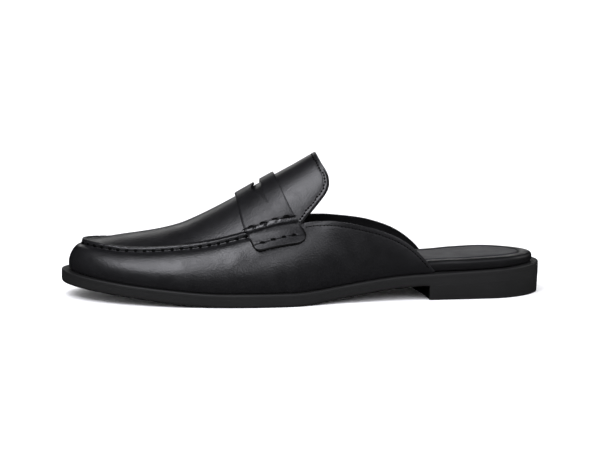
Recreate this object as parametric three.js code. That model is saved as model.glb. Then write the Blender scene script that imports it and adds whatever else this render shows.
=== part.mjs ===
// Backless penny loafer (loafer mule) for the left foot. Millimetres, +Z up.
// The toe points to -X, the outer side of the foot is -Y, and the sole stands on Z = 0.
// Every piece is worked out from one plan, one sole profile and one set of upper sections.
import * as THREE from 'three';

// Sole, in plan and from the side
const SOLE_LENGTH = 304;
const BALL_WIDTH = 103;
const WAIST_WIDTH = 68;
const HEEL_WIDTH = 68.6;
const TOE_ROUND_LENGTH = 82;
const HEEL_ROUND_LENGTH = 38;
const TOE_SPRING = 9.3;
const ARCH_RISE = 9;
const SEAT_RISE = 3.5;
const OUTSOLE_THICKNESS = 5.4;
const EDGE_ROUND = 0.8;

// Heel block
const HEEL_LENGTH = 75.5;
const BREAST_SKEW = 9.5;
const BREAST_HOLLOW = 2.5;
const HEEL_TAPER = 0.7;

// Welt, footbed and sock lining
const WELT_THICKNESS = 2.4;
const WELT_WIDTH = 13;
const WELT_LEDGE = 4.2;
const TOE_LEDGE = 5.2;
const WELT_SETBACK = 0.35;
const FOOTBED_THICKNESS = 6.6;
const FOOTBED_END_THICKNESS = 5.4;
const FOOTBED_RIM = 8.5;
const FOOTBED_ROUND = 2.4;
const FOOTBED_CLEARANCE = 0.8;
const FOOTBED_FLARE_LENGTH = 18;
const SOCK_THICKNESS = 1.3;
const SOCK_RECESS = 1.4;

// Upper
const WALL = 2;
const APRON_WIDTH = 66;
const APRON_ROUND_LENGTH = 58;
const APRON_FROM_TOE = 14.6;
const TOPLINE_HEIGHT = 41.2;
const TONGUE_HEIGHT = 80.7;
const TONGUE_LENGTH = 17.4;
const NOTCH_FROM_TOE = 149;
const OUTER_WING_LENGTH = 83;
const INNER_WING_LENGTH = 86;
const WALL_BULGE = 3;
const RIDGE_HEIGHT = 1.6;
const RIDGE_WIDTH = 5;

// Saddle strap
const STRAP_THICKNESS = 1.7;
const STRAP_FROM_TOE = 110;
const STRAP_WIDTH = 24;
const STRAP_SWEEP = 16.8;
const STRAP_CLEARANCE = 0.45;
const TAB_DROP = 15.5;
const TAB_CORNER = 5;
const SLOT_WIDTH = 6.1;
const SLOT_FROM_REAR_EDGE = 8.6;
const SLOT_REACH = 0.76;

// Space left between two pieces that meet
const GAP = 0.3;

const OUTER = -1;
const INNER = 1;

// Plan of the sole. at is the share of its length from the toe, half the half width, and
// swing how far the centre line lies towards the inner side.
const PLAN = [
  { at: 0, half: 0.45 * BALL_WIDTH, swing: 0.045 * BALL_WIDTH },
  { at: 0.125, half: 0.46 * BALL_WIDTH, swing: 0.03 * BALL_WIDTH },
  { at: 0.243, half: 0.485 * BALL_WIDTH, swing: 0.012 * BALL_WIDTH },
  { at: 0.362, half: 0.5 * BALL_WIDTH, swing: -0.01 * BALL_WIDTH },
  { at: 0.461, half: 0.475 * BALL_WIDTH, swing: -0.028 * BALL_WIDTH },
  { at: 0.579, half: 0.56 * WAIST_WIDTH, swing: -0.04 * BALL_WIDTH },
  { at: 0.697, half: 0.5 * WAIST_WIDTH, swing: -0.025 * BALL_WIDTH },
  { at: 0.796, half: 0.5 * HEEL_WIDTH, swing: -0.008 * BALL_WIDTH },
  { at: 0.895, half: 0.49 * HEEL_WIDTH, swing: 0 },
  { at: 1, half: 0.455 * HEEL_WIDTH, swing: 0 },
];

// Outsole from the side: the lift of its underside in front of the heel, and its thickness
const ROCKER = [
  { at: 0, lift: TOE_SPRING, thick: 0.98 * OUTSOLE_THICKNESS },
  { at: 0.051, lift: 0.84 * TOE_SPRING, thick: 0.93 * OUTSOLE_THICKNESS },
  { at: 0.135, lift: 0.57 * TOE_SPRING, thick: 0.85 * OUTSOLE_THICKNESS },
  { at: 0.234, lift: 0.23 * TOE_SPRING, thick: 0.95 * OUTSOLE_THICKNESS },
  { at: 0.283, lift: 0.08 * TOE_SPRING, thick: 0.98 * OUTSOLE_THICKNESS },
  { at: 0.332, lift: 0, thick: OUTSOLE_THICKNESS },
  { at: 0.47, lift: 0, thick: OUTSOLE_THICKNESS },
  { at: 0.52, lift: 0.12 * ARCH_RISE, thick: 0.96 * OUTSOLE_THICKNESS },
  { at: 0.564, lift: 0.32 * ARCH_RISE, thick: 0.93 * OUTSOLE_THICKNESS },
  { at: 0.609, lift: 0.54 * ARCH_RISE, thick: 0.9 * OUTSOLE_THICKNESS },
  { at: 0.648, lift: 0.72 * ARCH_RISE, thick: 0.87 * OUTSOLE_THICKNESS },
  { at: 0.702, lift: 0.91 * ARCH_RISE, thick: 0.84 * OUTSOLE_THICKNESS },
  { at: 0.752, lift: ARCH_RISE, thick: 0.84 * OUTSOLE_THICKNESS },
];

// Sewn seam between the side wall and the apron. half is measured across the apron, and
// outer and inner are the seam's heights above the welt on the two sides of the foot.
const SEAM = [
  { at: 0.048, half: 0.4 * APRON_WIDTH, outer: 0.457 * TOPLINE_HEIGHT, inner: 0.457 * TOPLINE_HEIGHT },
  { at: 0.089, half: 0.41 * APRON_WIDTH, outer: 0.461 * TOPLINE_HEIGHT, inner: 0.462 * TOPLINE_HEIGHT },
  { at: 0.125, half: 0.415 * APRON_WIDTH, outer: 0.468 * TOPLINE_HEIGHT, inner: 0.48 * TOPLINE_HEIGHT },
  { at: 0.164, half: 0.425 * APRON_WIDTH, outer: 0.494 * TOPLINE_HEIGHT, inner: 0.503 * TOPLINE_HEIGHT },
  { at: 0.204, half: 0.435 * APRON_WIDTH, outer: 0.534 * TOPLINE_HEIGHT, inner: 0.537 * TOPLINE_HEIGHT },
  { at: 0.253, half: 0.452 * APRON_WIDTH, outer: 0.598 * TOPLINE_HEIGHT, inner: 0.592 * TOPLINE_HEIGHT },
  { at: 0.303, half: 0.468 * APRON_WIDTH, outer: 0.676 * TOPLINE_HEIGHT, inner: 0.666 * TOPLINE_HEIGHT },
  { at: 0.352, half: 0.48 * APRON_WIDTH, outer: 0.768 * TOPLINE_HEIGHT, inner: 0.743 * TOPLINE_HEIGHT },
  { at: 0.401, half: 0.49 * APRON_WIDTH, outer: 0.865 * TOPLINE_HEIGHT, inner: 0.82 * TOPLINE_HEIGHT },
  { at: 0.451, half: 0.497 * APRON_WIDTH, outer: 0.95 * TOPLINE_HEIGHT, inner: 0.877 * TOPLINE_HEIGHT },
  { at: 0.49, half: 0.5 * APRON_WIDTH, outer: 0.985 * TOPLINE_HEIGHT, inner: 0.905 * TOPLINE_HEIGHT },
  { at: 0.569, half: 0.5 * APRON_WIDTH, outer: 1.01 * TOPLINE_HEIGHT, inner: 0.935 * TOPLINE_HEIGHT },
];

// Free top edge of the side wall. run goes from 0 at the notch to 1 at the end of the wing.
const TOPLINE = [
  { run: 0, half: 0.5 * APRON_WIDTH, outer: 0.985 * TOPLINE_HEIGHT, inner: 0.905 * TOPLINE_HEIGHT },
  { run: 0.1, half: 0.5 * APRON_WIDTH, outer: TOPLINE_HEIGHT, inner: 0.905 * TOPLINE_HEIGHT },
  { run: 0.2, half: 0.5 * APRON_WIDTH, outer: 0.98 * TOPLINE_HEIGHT, inner: 0.885 * TOPLINE_HEIGHT },
  { run: 0.32, half: 0.498 * APRON_WIDTH, outer: 0.92 * TOPLINE_HEIGHT, inner: 0.835 * TOPLINE_HEIGHT },
  { run: 0.43, half: 0.494 * APRON_WIDTH, outer: 0.845 * TOPLINE_HEIGHT, inner: 0.78 * TOPLINE_HEIGHT },
  { run: 0.545, half: 0.486 * APRON_WIDTH, outer: 0.755 * TOPLINE_HEIGHT, inner: 0.71 * TOPLINE_HEIGHT },
  { run: 0.66, half: 0.477 * APRON_WIDTH, outer: 0.643 * TOPLINE_HEIGHT, inner: 0.615 * TOPLINE_HEIGHT },
  { run: 0.74, half: 0.471 * APRON_WIDTH, outer: 0.55 * TOPLINE_HEIGHT, inner: 0.535 * TOPLINE_HEIGHT },
  { run: 0.82, half: 0.465 * APRON_WIDTH, outer: 0.43 * TOPLINE_HEIGHT, inner: 0.43 * TOPLINE_HEIGHT },
  { run: 0.9, half: 0.46 * APRON_WIDTH, outer: 0.27 * TOPLINE_HEIGHT, inner: 0.29 * TOPLINE_HEIGHT },
  { run: 0.955, half: 0.457 * APRON_WIDTH, outer: 0.14 * TOPLINE_HEIGHT, inner: 0.165 * TOPLINE_HEIGHT },
  { run: 1, half: 0.453 * APRON_WIDTH, outer: 0.02 * TOPLINE_HEIGHT, inner: 0.02 * TOPLINE_HEIGHT },
];

// Middle line of the apron and the tongue, above the welt
const SPINE = [
  { at: 0.048, rise: 0.23 * TONGUE_HEIGHT },
  { at: 0.086, rise: 0.268 * TONGUE_HEIGHT },
  { at: 0.125, rise: 0.308 * TONGUE_HEIGHT },
  { at: 0.164, rise: 0.342 * TONGUE_HEIGHT },
  { at: 0.204, rise: 0.38 * TONGUE_HEIGHT },
  { at: 0.243, rise: 0.43 * TONGUE_HEIGHT },
  { at: 0.283, rise: 0.505 * TONGUE_HEIGHT },
  { at: 0.322, rise: 0.585 * TONGUE_HEIGHT },
  { at: 0.362, rise: 0.667 * TONGUE_HEIGHT },
  { at: 0.421, rise: 0.793 * TONGUE_HEIGHT },
  { at: 0.49, rise: 0.934 * TONGUE_HEIGHT },
  { at: 0.525, rise: TONGUE_HEIGHT },
  { at: 0.569, rise: 1.07 * TONGUE_HEIGHT },
];

// Free end of the tongue. across is 0 on the middle line and 1 at the notch.
const TONGUE_END = [
  { across: 0, beyond: 0.6 * TONGUE_LENGTH },
  { across: 0.23, beyond: 0.655 * TONGUE_LENGTH },
  { across: 0.42, beyond: 0.76 * TONGUE_LENGTH },
  { across: 0.55, beyond: 0.9 * TONGUE_LENGTH },
  { across: 0.63, beyond: 0.98 * TONGUE_LENGTH },
  { across: 0.7, beyond: TONGUE_LENGTH },
  { across: 0.76, beyond: 0.94 * TONGUE_LENGTH },
  { across: 0.81, beyond: 0.79 * TONGUE_LENGTH },
  { across: 0.85, beyond: 0.62 * TONGUE_LENGTH },
  { across: 0.9, beyond: 0.41 * TONGUE_LENGTH },
  { across: 0.95, beyond: 0.18 * TONGUE_LENGTH },
  { across: 1, beyond: 0 },
];

// How far the strap's front and rear edges sweep back from where they are on the middle line.
// across goes on past 1, where the tab runs down the side wall.
const STRAP = [
  { across: 0, front: 0, rear: 0 },
  { across: 0.35, front: 0.04 * STRAP_SWEEP, rear: 0.09 * STRAP_SWEEP },
  { across: 0.56, front: 0.08 * STRAP_SWEEP, rear: 0.214 * STRAP_SWEEP },
  { across: 0.78, front: 0.14 * STRAP_SWEEP, rear: 0.41 * STRAP_SWEEP },
  { across: 0.94, front: 0.24 * STRAP_SWEEP, rear: 0.65 * STRAP_SWEEP },
  { across: 1.04, front: 0.35 * STRAP_SWEEP, rear: 0.79 * STRAP_SWEEP },
  { across: 1.14, front: 0.42 * STRAP_SWEEP, rear: 0.92 * STRAP_SWEEP },
  { across: 1.25, front: 0.52 * STRAP_SWEEP, rear: 0.99 * STRAP_SWEEP },
  { across: 1.4, front: 0.67 * STRAP_SWEEP, rear: STRAP_SWEEP },
];

// Smooth curve through one column of a table, with no overshoot between its rows
function follow(rows, column, key = 'at') {
  const x = rows.map((row) => row[key]);
  const y = rows.map((row) => row[column]);
  const last = x.length - 1;
  const slope = x.slice(1).map((end, i) => (y[i + 1] - y[i]) / (end - x[i]));
  const tangent = x.map((_, i) => {
    if (i === 0) return slope[0];
    if (i === last) return slope[last - 1];
    if (slope[i - 1] * slope[i] <= 0) return 0;
    return 2 / (1 / slope[i - 1] + 1 / slope[i]);
  });
  return (at) => {
    const place = Math.min(Math.max(at, x[0]), x[last]);
    let i = 0;
    while (i < last - 1 && place > x[i + 1]) i += 1;
    const span = x[i + 1] - x[i];
    const t = (place - x[i]) / span;
    const rest = 1 - t;
    return (1 + 2 * t) * rest * rest * y[i] + t * rest * rest * span * tangent[i]
      + t * t * (3 - 2 * t) * y[i + 1] - t * t * rest * span * tangent[i + 1];
  };
}

const planHalf = follow(PLAN, 'half');
const planSwing = follow(PLAN, 'swing');
const rockerLift = follow(ROCKER, 'lift');
const outsoleThick = follow(ROCKER, 'thick');
const seamHalf = follow(SEAM, 'half');
const seamRise = { [OUTER]: follow(SEAM, 'outer'), [INNER]: follow(SEAM, 'inner') };
const toplineHalf = follow(TOPLINE, 'half', 'run');
const toplineRise = {
  [OUTER]: follow(TOPLINE, 'outer', 'run'),
  [INNER]: follow(TOPLINE, 'inner', 'run'),
};
const spineRise = follow(SPINE, 'rise');
const tongueBeyond = follow(TONGUE_END, 'beyond', 'across');
const strapFront = follow(STRAP, 'front', 'across');
const strapRear = follow(STRAP, 'rear', 'across');

const BREAST_AT = 1 - HEEL_LENGTH / SOLE_LENGTH;
const APRON_AT = APRON_FROM_TOE / SOLE_LENGTH;
const NOTCH_AT = NOTCH_FROM_TOE / SOLE_LENGTH;
const WING_END_AT = {
  [OUTER]: NOTCH_AT + OUTER_WING_LENGTH / SOLE_LENGTH,
  [INNER]: NOTCH_AT + INNER_WING_LENGTH / SOLE_LENGTH,
};

const xAt = (at) => (at - 0.5) * SOLE_LENGTH;
const atX = (x) => x / SOLE_LENGTH + 0.5;
const mix = (a, b, t) => a + (b - a) * t;
const share = (part, whole) => Math.min(Math.max(part / whole, 0), 1);
const smooth = (t) => t * t * (3 - 2 * t);
const evenShares = (count) => Array.from({ length: count + 1 }, (_, i) => i / count);

// Round closing of an outline at its end: 0 at the end, and 1 from the given length on
function closing(distance, length) {
  return Math.sqrt(1 - (1 - share(distance, length)) ** 2);
}

// Edge of the sole in plan
function soleEdge(at, side) {
  const half = planHalf(at)
    * closing(at * SOLE_LENGTH, TOE_ROUND_LENGTH)
    * closing((1 - at) * SOLE_LENGTH, HEEL_ROUND_LENGTH);
  return new THREE.Vector2(xAt(at), planSwing(at) + side * half);
}

// The same edge moved inwards, square to itself. The angle goes once round the outline, so
// that the direction is found at the toe and the heel too.
function inset(at, side, distance) {
  const STEP = 0.004;
  const angle = Math.acos(1 - 2 * at);
  const edgeAt = (turn) => {
    const across = turn < 0 || turn > Math.PI ? -side : side;
    return soleEdge((1 - Math.cos(turn)) / 2, across);
  };
  const along = edgeAt(angle + STEP).sub(edgeAt(angle - STEP)).normalize();
  const inward = new THREE.Vector2(along.y, -along.x).multiplyScalar(side);
  return soleEdge(at, side).addScaledVector(inward, distance);
}

// Heights of the sole's layers at a place along it. Over the heel the underside is a flat seat.
function underside(x) {
  const at = atX(x);
  if (at < BREAST_AT) return rockerLift(at);
  return ARCH_RISE + (SEAT_RISE * (at - BREAST_AT)) / (1 - BREAST_AT);
}
const outsoleTop = (x) => underside(x) + outsoleThick(atX(x));
const weltBottom = (x) => outsoleTop(x) + GAP;
const weltTop = (x) => weltBottom(x) + WELT_THICKNESS;
const bedBottom = (x) => weltTop(x) + GAP;
function bedTop(x) {
  const EASE_LENGTH = 40;
  const ease = smooth(1 - share(SOLE_LENGTH / 2 - x, EASE_LENGTH));
  return bedBottom(x) + mix(FOOTBED_THICKNESS, FOOTBED_END_THICKNESS, ease);
}

// Closed mesh of triangles with shared corners, turned so that its faces point outwards
function meshOf(points, triangles) {
  const kept = triangles.filter(([a, b, c]) => a !== b && b !== c && c !== a);
  let volume = 0;
  for (const [a, b, c] of kept) {
    volume += points[a].dot(new THREE.Vector3().crossVectors(points[b], points[c]));
  }
  const geometry = new THREE.BufferGeometry();
  geometry.setAttribute(
    'position',
    new THREE.Float32BufferAttribute(points.flatMap((point) => point.toArray()), 3),
  );
  geometry.setIndex(kept.flatMap(([a, b, c]) => (volume > 0 ? [a, b, c] : [a, c, b])));
  return geometry;
}

// Four-sided faces of a grid whose corners are numbered row by row
function gridFaces(rows, columns, first = 0) {
  const faces = [];
  for (let r = 0; r < rows - 1; r += 1) {
    for (let c = 0; c < columns - 1; c += 1) {
      const corner = first + r * columns + c;
      faces.push([corner, corner + columns, corner + columns + 1, corner + 1]);
    }
  }
  return faces;
}

// Joins corners that lie in the same place, and renumbers the faces to match
function weld(corners, faces, placeOf) {
  const PER_MILLIMETRE = 1000;
  const numbers = new Map();
  const unique = [];
  const number = corners.map((corner) => {
    const place = placeOf(corner).toArray().map((value) => Math.round(value * PER_MILLIMETRE)).join();
    if (!numbers.has(place)) {
      numbers.set(place, unique.length);
      unique.push(corner);
    }
    return numbers.get(place);
  });
  return { corners: unique, faces: faces.map((face) => face.map((corner) => number[corner])) };
}

// Solid between a front sheet and a back sheet with the same faces, closed along free edges
function solidBetween(front, back, faces) {
  const count = front.length;
  const triangles = [];
  const edges = new Map();
  for (const [a, b, c, d] of faces) {
    for (const [p, q, r] of [[a, b, c], [a, c, d]]) {
      if (p === q || q === r || r === p) continue;
      triangles.push([p, q, r], [r + count, q + count, p + count]);
      for (const [from, to] of [[p, q], [q, r], [r, p]]) edges.set(`${from},${to}`, [from, to]);
    }
  }
  for (const [from, to] of edges.values()) {
    if (edges.has(`${to},${from}`)) continue;
    triangles.push([to, from, from + count], [to, from + count, to + count]);
  }
  return meshOf([...front, ...back], triangles);
}

// Stations along the sole, closer together at both ends, with one on the heel breast
const SOLE_STEPS = 38;
const roundShares = evenShares(SOLE_STEPS).map((t) => (1 - Math.cos(Math.PI * t)) / 2);
const nearestToBreast = roundShares.reduce(
  (best, at, i) => (Math.abs(at - BREAST_AT) < Math.abs(roundShares[best] - BREAST_AT) ? i : best),
  1,
);
const SOLE_STATIONS = roundShares.map((at, i) => (i === nearestToBreast ? BREAST_AT : at));

// Closed loop round the sole, moved in from its edge, at a height worked out along it
function loopRound(distance, height) {
  const distanceAt = typeof distance === 'function' ? distance : () => distance;
  const point = (at, side) => {
    const plan = inset(at, side, distanceAt(at));
    return new THREE.Vector3(plan.x, plan.y, height(plan.x));
  };
  const outerSide = SOLE_STATIONS.map((at) => point(at, OUTER));
  const innerSide = SOLE_STATIONS.slice(1, -1).reverse().map((at) => point(at, INNER));
  return [...outerSide, ...innerSide];
}

function bandBetween(triangles, size, from, to) {
  for (let i = 0; i < size; i += 1) {
    const next = (i + 1) % size;
    triangles.push([from + i, from + next, to + next], [from + i, to + next, to + i]);
  }
}

// Layer of the sole through loops from its bottom to its top, closed over the first and last
function layer(loops) {
  const size = loops[0].length;
  const triangles = [];
  const last = (loops.length - 1) * size;
  for (let k = 0; k < last; k += size) bandBetween(triangles, size, k, k + size);
  for (let i = 0; i < SOLE_STEPS; i += 1) {
    const corners = [i, i + 1, size - i - 1, (size - i) % size];
    const [a, b, c, d] = corners;
    triangles.push([c, b, a], [d, c, a]);
    triangles.push([last + a, last + b, last + c], [last + a, last + c, last + d]);
  }
  return meshOf(loops.flat(), triangles);
}

// Flat ring through loops that go once round its section
function ring(loops) {
  const size = loops[0].length;
  const triangles = [];
  loops.forEach((_, k) => bandBetween(triangles, size, k * size, ((k + 1) % loops.length) * size));
  return meshOf(loops.flat(), triangles);
}

// Outsole with a raised filler inside the welt, as high as the welt
function outsole() {
  const fillerInset = WELT_WIDTH + GAP;
  return layer([
    loopRound(EDGE_ROUND, underside),
    loopRound(0, (x) => underside(x) + EDGE_ROUND),
    loopRound(0, (x) => outsoleTop(x) - EDGE_ROUND / 2),
    loopRound(EDGE_ROUND / 2, outsoleTop),
    loopRound(fillerInset, outsoleTop),
    loopRound(fillerInset, weltTop),
  ]);
}

function welt() {
  return ring([
    loopRound(WELT_SETBACK + EDGE_ROUND / 2, weltBottom),
    loopRound(WELT_SETBACK, (x) => weltBottom(x) + EDGE_ROUND / 2),
    loopRound(WELT_SETBACK, (x) => weltTop(x) - EDGE_ROUND),
    loopRound(WELT_SETBACK + EDGE_ROUND, weltTop),
    loopRound(WELT_WIDTH, weltTop),
    loopRound(WELT_WIDTH, weltBottom),
  ]);
}

// Width of the welt that shows outside the upper and the footbed
function ledgeAt(at) {
  const TOE_LEDGE_LENGTH = 40;
  return mix(TOE_LEDGE, WELT_LEDGE, smooth(share(at * SOLE_LENGTH, TOE_LEDGE_LENGTH)));
}

// The footbed lies inside the wall of the upper, and comes out to the ledge behind the wings
function footbedInset(at) {
  const inside = ledgeAt(at) + WALL + FOOTBED_CLEARANCE;
  const wingEnd = Math.max(WING_END_AT[OUTER], WING_END_AT[INNER]);
  const pastWing = (at - wingEnd) * SOLE_LENGTH - FOOTBED_CLEARANCE;
  return mix(inside, WELT_LEDGE, smooth(share(pastWing, FOOTBED_FLARE_LENGTH)));
}

function footbed() {
  const SHOULDER = 0.3 * FOOTBED_ROUND;
  const edge = (extra) => (at) => footbedInset(at) + extra;
  return layer([
    loopRound(edge(EDGE_ROUND), bedBottom),
    loopRound(edge(0), (x) => bedBottom(x) + EDGE_ROUND),
    loopRound(edge(0), (x) => bedTop(x) - FOOTBED_ROUND),
    loopRound(edge(SHOULDER), (x) => bedTop(x) - SHOULDER),
    loopRound(edge(FOOTBED_ROUND), bedTop),
    loopRound(edge(FOOTBED_RIM - EDGE_ROUND), bedTop),
    loopRound(edge(FOOTBED_RIM), (x) => bedTop(x) - SOCK_RECESS),
  ]);
}

function sockLining() {
  const low = (x) => bedTop(x) - SOCK_RECESS + GAP;
  const high = (x) => low(x) + SOCK_THICKNESS;
  const edge = (extra) => (at) => footbedInset(at) + FOOTBED_RIM + GAP + extra;
  return layer([
    loopRound(edge(0), low),
    loopRound(edge(0), (x) => high(x) - EDGE_ROUND / 2),
    loopRound(edge(EDGE_ROUND), high),
  ]);
}

// Heel block under the seat. Its breast is hollow, and further forward on the inner side.
function heel() {
  const ROWS = 15;
  const COLUMNS = 6;
  const breast = {
    [OUTER]: BREAST_AT,
    [INNER]: BREAST_AT - BREAST_SKEW / SOLE_LENGTH,
  };
  const corners = evenShares(ROWS).flatMap((t) => {
    const run = Math.sin((Math.PI / 2) * t);
    return evenShares(COLUMNS).map((across) => ({ run, across }));
  });
  const place = ({ run, across }, distance) => {
    const from = inset(mix(breast[OUTER], 1, run), OUTER, distance);
    const to = inset(mix(breast[INNER], 1, run), INNER, distance);
    const hollow = BREAST_HOLLOW * 4 * across * (1 - across) * (1 - run);
    return from.lerp(to, across).add(new THREE.Vector2(hollow, 0));
  };
  const top = (corner) => {
    const plan = place(corner, 0);
    return new THREE.Vector3(plan.x, plan.y, underside(plan.x) - GAP);
  };
  const bottom = (corner) => {
    const plan = place(corner, HEEL_TAPER);
    return new THREE.Vector3(plan.x, plan.y, 0);
  };
  const block = weld(corners, gridFaces(ROWS + 1, COLUMNS + 1), top);
  return solidBetween(block.corners.map(top), block.corners.map(bottom), block.faces);
}

// Line of the sewn seam, closed round the front of the apron
function seamPoint(at, side) {
  const round = closing((at - APRON_AT) * SOLE_LENGTH, APRON_ROUND_LENGTH);
  const x = xAt(at);
  const y = planSwing(at) + side * seamHalf(at) * round;
  return new THREE.Vector3(x, y, bedBottom(x) + seamRise[side](at));
}

function toplinePoint(at, side) {
  const run = (at - NOTCH_AT) / (WING_END_AT[side] - NOTCH_AT);
  const x = xAt(at);
  const y = planSwing(at) + side * toplineHalf(run);
  return new THREE.Vector3(x, y, bedBottom(x) + toplineRise[side](run));
}

const wallTop = (at, side) => (at > NOTCH_AT ? toplinePoint(at, side) : seamPoint(at, side));

// Where the side wall stands on the welt below a point of its top edge
function wallFoot(at, side) {
  const front = NOTCH_AT * share(at - APRON_AT, NOTCH_AT - APRON_AT);
  const footAt = at < NOTCH_AT ? front : at;
  const plan = inset(footAt, side, ledgeAt(footAt));
  const outward = soleEdge(footAt, side).sub(plan).normalize();
  return { foot: new THREE.Vector3(plan.x, plan.y, bedBottom(plan.x)), outward };
}

// Point of the side wall: height 0 stands on the welt, and height 1 is the top edge. The wall
// rises steeply and then rolls in towards the seam.
function wallPoint(at, side, height) {
  const LOW_RISE = 0.4;
  const HIGH_DROP = 0.22;
  const HIGH_REACH = 0.65;
  const { foot, outward } = wallFoot(at, side);
  const top = wallTop(at, side);
  const rise = top.z - foot.z;
  const lean = Math.hypot(foot.x - top.x, foot.y - top.y);
  const bulge = WALL_BULGE * share(rise, TOPLINE_HEIGHT / 2);
  const out = new THREE.Vector3(outward.x, outward.y, 0);
  const low = foot.clone().addScaledVector(out, bulge);
  low.z += LOW_RISE * rise;
  const high = top.clone().addScaledVector(out, HIGH_REACH * lean);
  high.z -= HIGH_DROP * rise;
  return new THREE.CubicBezierCurve3(foot, low, high, top).getPoint(height);
}

// Point of the apron and the tongue: across is -1 on the outer seam and 1 on the inner seam
function apronPoint(at, across) {
  const outer = seamPoint(at, OUTER);
  const inner = seamPoint(at, INNER);
  const crown = bedBottom(xAt(at)) + spineRise(at) - (outer.z + inner.z) / 2;
  const point = outer.lerp(inner, (across + 1) / 2);
  point.z += crown * (1 - across * across);
  return point;
}

// Outside of the upper. across goes from -2 on the outer edge of the welt, over the outer
// seam at -1 and the inner seam at 1, to 2 on the inner edge of the welt.
function skinPoint({ at, across }) {
  if (Math.abs(across) < 1) return apronPoint(at, across);
  return wallPoint(at, Math.sign(across), 2 - Math.abs(across));
}

// Rows along the front of the upper, close together round the toe
const FRONT_ROWS = 26;
const frontStations = (count) => evenShares(count)
  .map((t) => mix(APRON_AT, NOTCH_AT, 1 - Math.cos((Math.PI / 2) * t)));
const SEAM_LINE = [OUTER, INNER].flatMap((side) => (
  frontStations(4 * FRONT_ROWS).map((at) => seamPoint(at, side))
));

// Height of the sewn ridge over a point of the skin
function ridgeOver(point) {
  const distance = Math.min(...SEAM_LINE.map((other) => other.distanceTo(point)));
  return (RIDGE_HEIGHT * (1 + Math.cos(Math.PI * share(distance, RIDGE_WIDTH / 2)))) / 2;
}

// Columns beside the seam, as shares of the span from the seam, and then even ones to the end
function columnsFrom(seamToEnd, steps, end = 1) {
  const RIDGE_SHARES = [0.22, 0.46];
  const LARGEST_STEP = 0.06;
  const near = RIDGE_SHARES.map((part, i) => (
    Math.min((part * RIDGE_WIDTH) / seamToEnd, LARGEST_STEP * (i + 1))
  ));
  const start = near[near.length - 1];
  return [...near, ...evenShares(steps).slice(1).map((t) => mix(start, end, t))];
}

function apronColumns(at, steps, end = 1) {
  const seam = seamPoint(at, OUTER);
  const crown = apronPoint(at, 0).z - seam.z;
  return columnsFrom(Math.hypot(seam.y - planSwing(at), 2 * crown), steps, end);
}

function wallColumns(at, side, steps, end = 1) {
  return columnsFrom(wallTop(at, side).distanceTo(wallFoot(at, side).foot), steps, end);
}

// Values of across from the outer seam over the middle line to the inner seam
function overApron(columns) {
  const innerHalf = [0, ...columns].map((column) => 1 - column);
  const outerHalf = innerHalf.slice(0, -1).map((across) => -across);
  return [...outerHalf, ...innerHalf.reverse()];
}

// Moves each corner that isn't on a free edge towards the middle of its neighbours
function relax(points, faces, rounds) {
  const neighbours = points.map(() => new Set());
  const uses = new Map();
  for (const face of faces) {
    const outline = face.filter((corner, i) => corner !== face[(i + 1) % face.length]);
    outline.forEach((corner, i) => {
      const next = outline[(i + 1) % outline.length];
      neighbours[corner].add(next);
      neighbours[next].add(corner);
      const edge = [corner, next].sort((a, b) => a - b).join();
      uses.set(edge, (uses.get(edge) ?? 0) + 1);
    });
  }
  const free = new Set();
  for (const [edge, count] of uses) {
    if (count === 1) edge.split(',').forEach((corner) => free.add(Number(corner)));
  }
  let moved = points;
  for (let round = 0; round < rounds; round += 1) {
    moved = moved.map((point, i) => {
      if (free.has(i) || neighbours[i].size === 0) return point;
      const middle = new THREE.Vector3();
      for (const other of neighbours[i]) middle.add(moved[other]);
      return middle.divideScalar(neighbours[i].size).lerp(point, 0.5);
    });
  }
  return moved;
}

// Directions out of a sheet at its corners
function outwardsOf(points, faces) {
  const outwards = points.map(() => new THREE.Vector3());
  for (const face of faces) {
    const [a, b, c, d] = face.map((corner) => points[corner]);
    const area = c.clone().sub(a).cross(d.clone().sub(b));
    for (const corner of new Set(face)) outwards[corner].add(area);
  }
  return outwards;
}

// Side walls, apron and tongue in one hollow shell, open at the collar and underneath
function upper() {
  const WING_ROWS = 13;
  const TONGUE_ROWS = 4;
  const WALL_STEPS = 6;
  const APRON_STEPS = 9;
  const INNER_RELAX_ROUNDS = 3;
  const corners = [];
  const faces = [];
  const addGrid = (rows) => {
    faces.push(...gridFaces(rows.length, rows[0].length, corners.length));
    corners.push(...rows.flat());
  };
  const overWall = (at, side) => {
    const columns = [0, ...wallColumns(at, side, WALL_STEPS)].map((column) => side * (1 + column));
    return side === OUTER ? columns.reverse() : columns;
  };
  const rowOf = (at, acrosses) => acrosses.map((across) => ({ at, across }));

  addGrid(frontStations(FRONT_ROWS).map((at) => rowOf(at, [
    ...overWall(at, OUTER),
    ...overApron(apronColumns(at, APRON_STEPS)).slice(1, -1),
    ...overWall(at, INNER),
  ])));
  for (const side of [OUTER, INNER]) {
    addGrid(evenShares(WING_ROWS).map((t) => {
      const at = mix(NOTCH_AT, WING_END_AT[side], t);
      return rowOf(at, overWall(at, side));
    }));
  }
  const tongueColumns = overApron(apronColumns(NOTCH_AT, APRON_STEPS));
  addGrid(evenShares(TONGUE_ROWS).map((t) => tongueColumns.map((across) => {
    const at = NOTCH_AT + (t * tongueBeyond(Math.abs(across))) / SOLE_LENGTH;
    return { at, across };
  })));

  const sheet = weld(corners, faces, skinPoint);
  const skin = sheet.corners.map(skinPoint);
  const outwards = outwardsOf(skin, sheet.faces);
  sheet.corners.forEach(({ across }, i) => {
    const standing = Math.abs(across) === 2;
    if (standing) outwards[i].z = 0;
    outwards[i].normalize();
  });
  const front = skin.map((point, i) => point.clone().addScaledVector(outwards[i], ridgeOver(point)));
  const lining = skin.map((point, i) => point.clone().addScaledVector(outwards[i], -WALL));
  return solidBetween(front, relax(lining, sheet.faces, INNER_RELAX_ROUNDS), sheet.faces);
}

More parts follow.
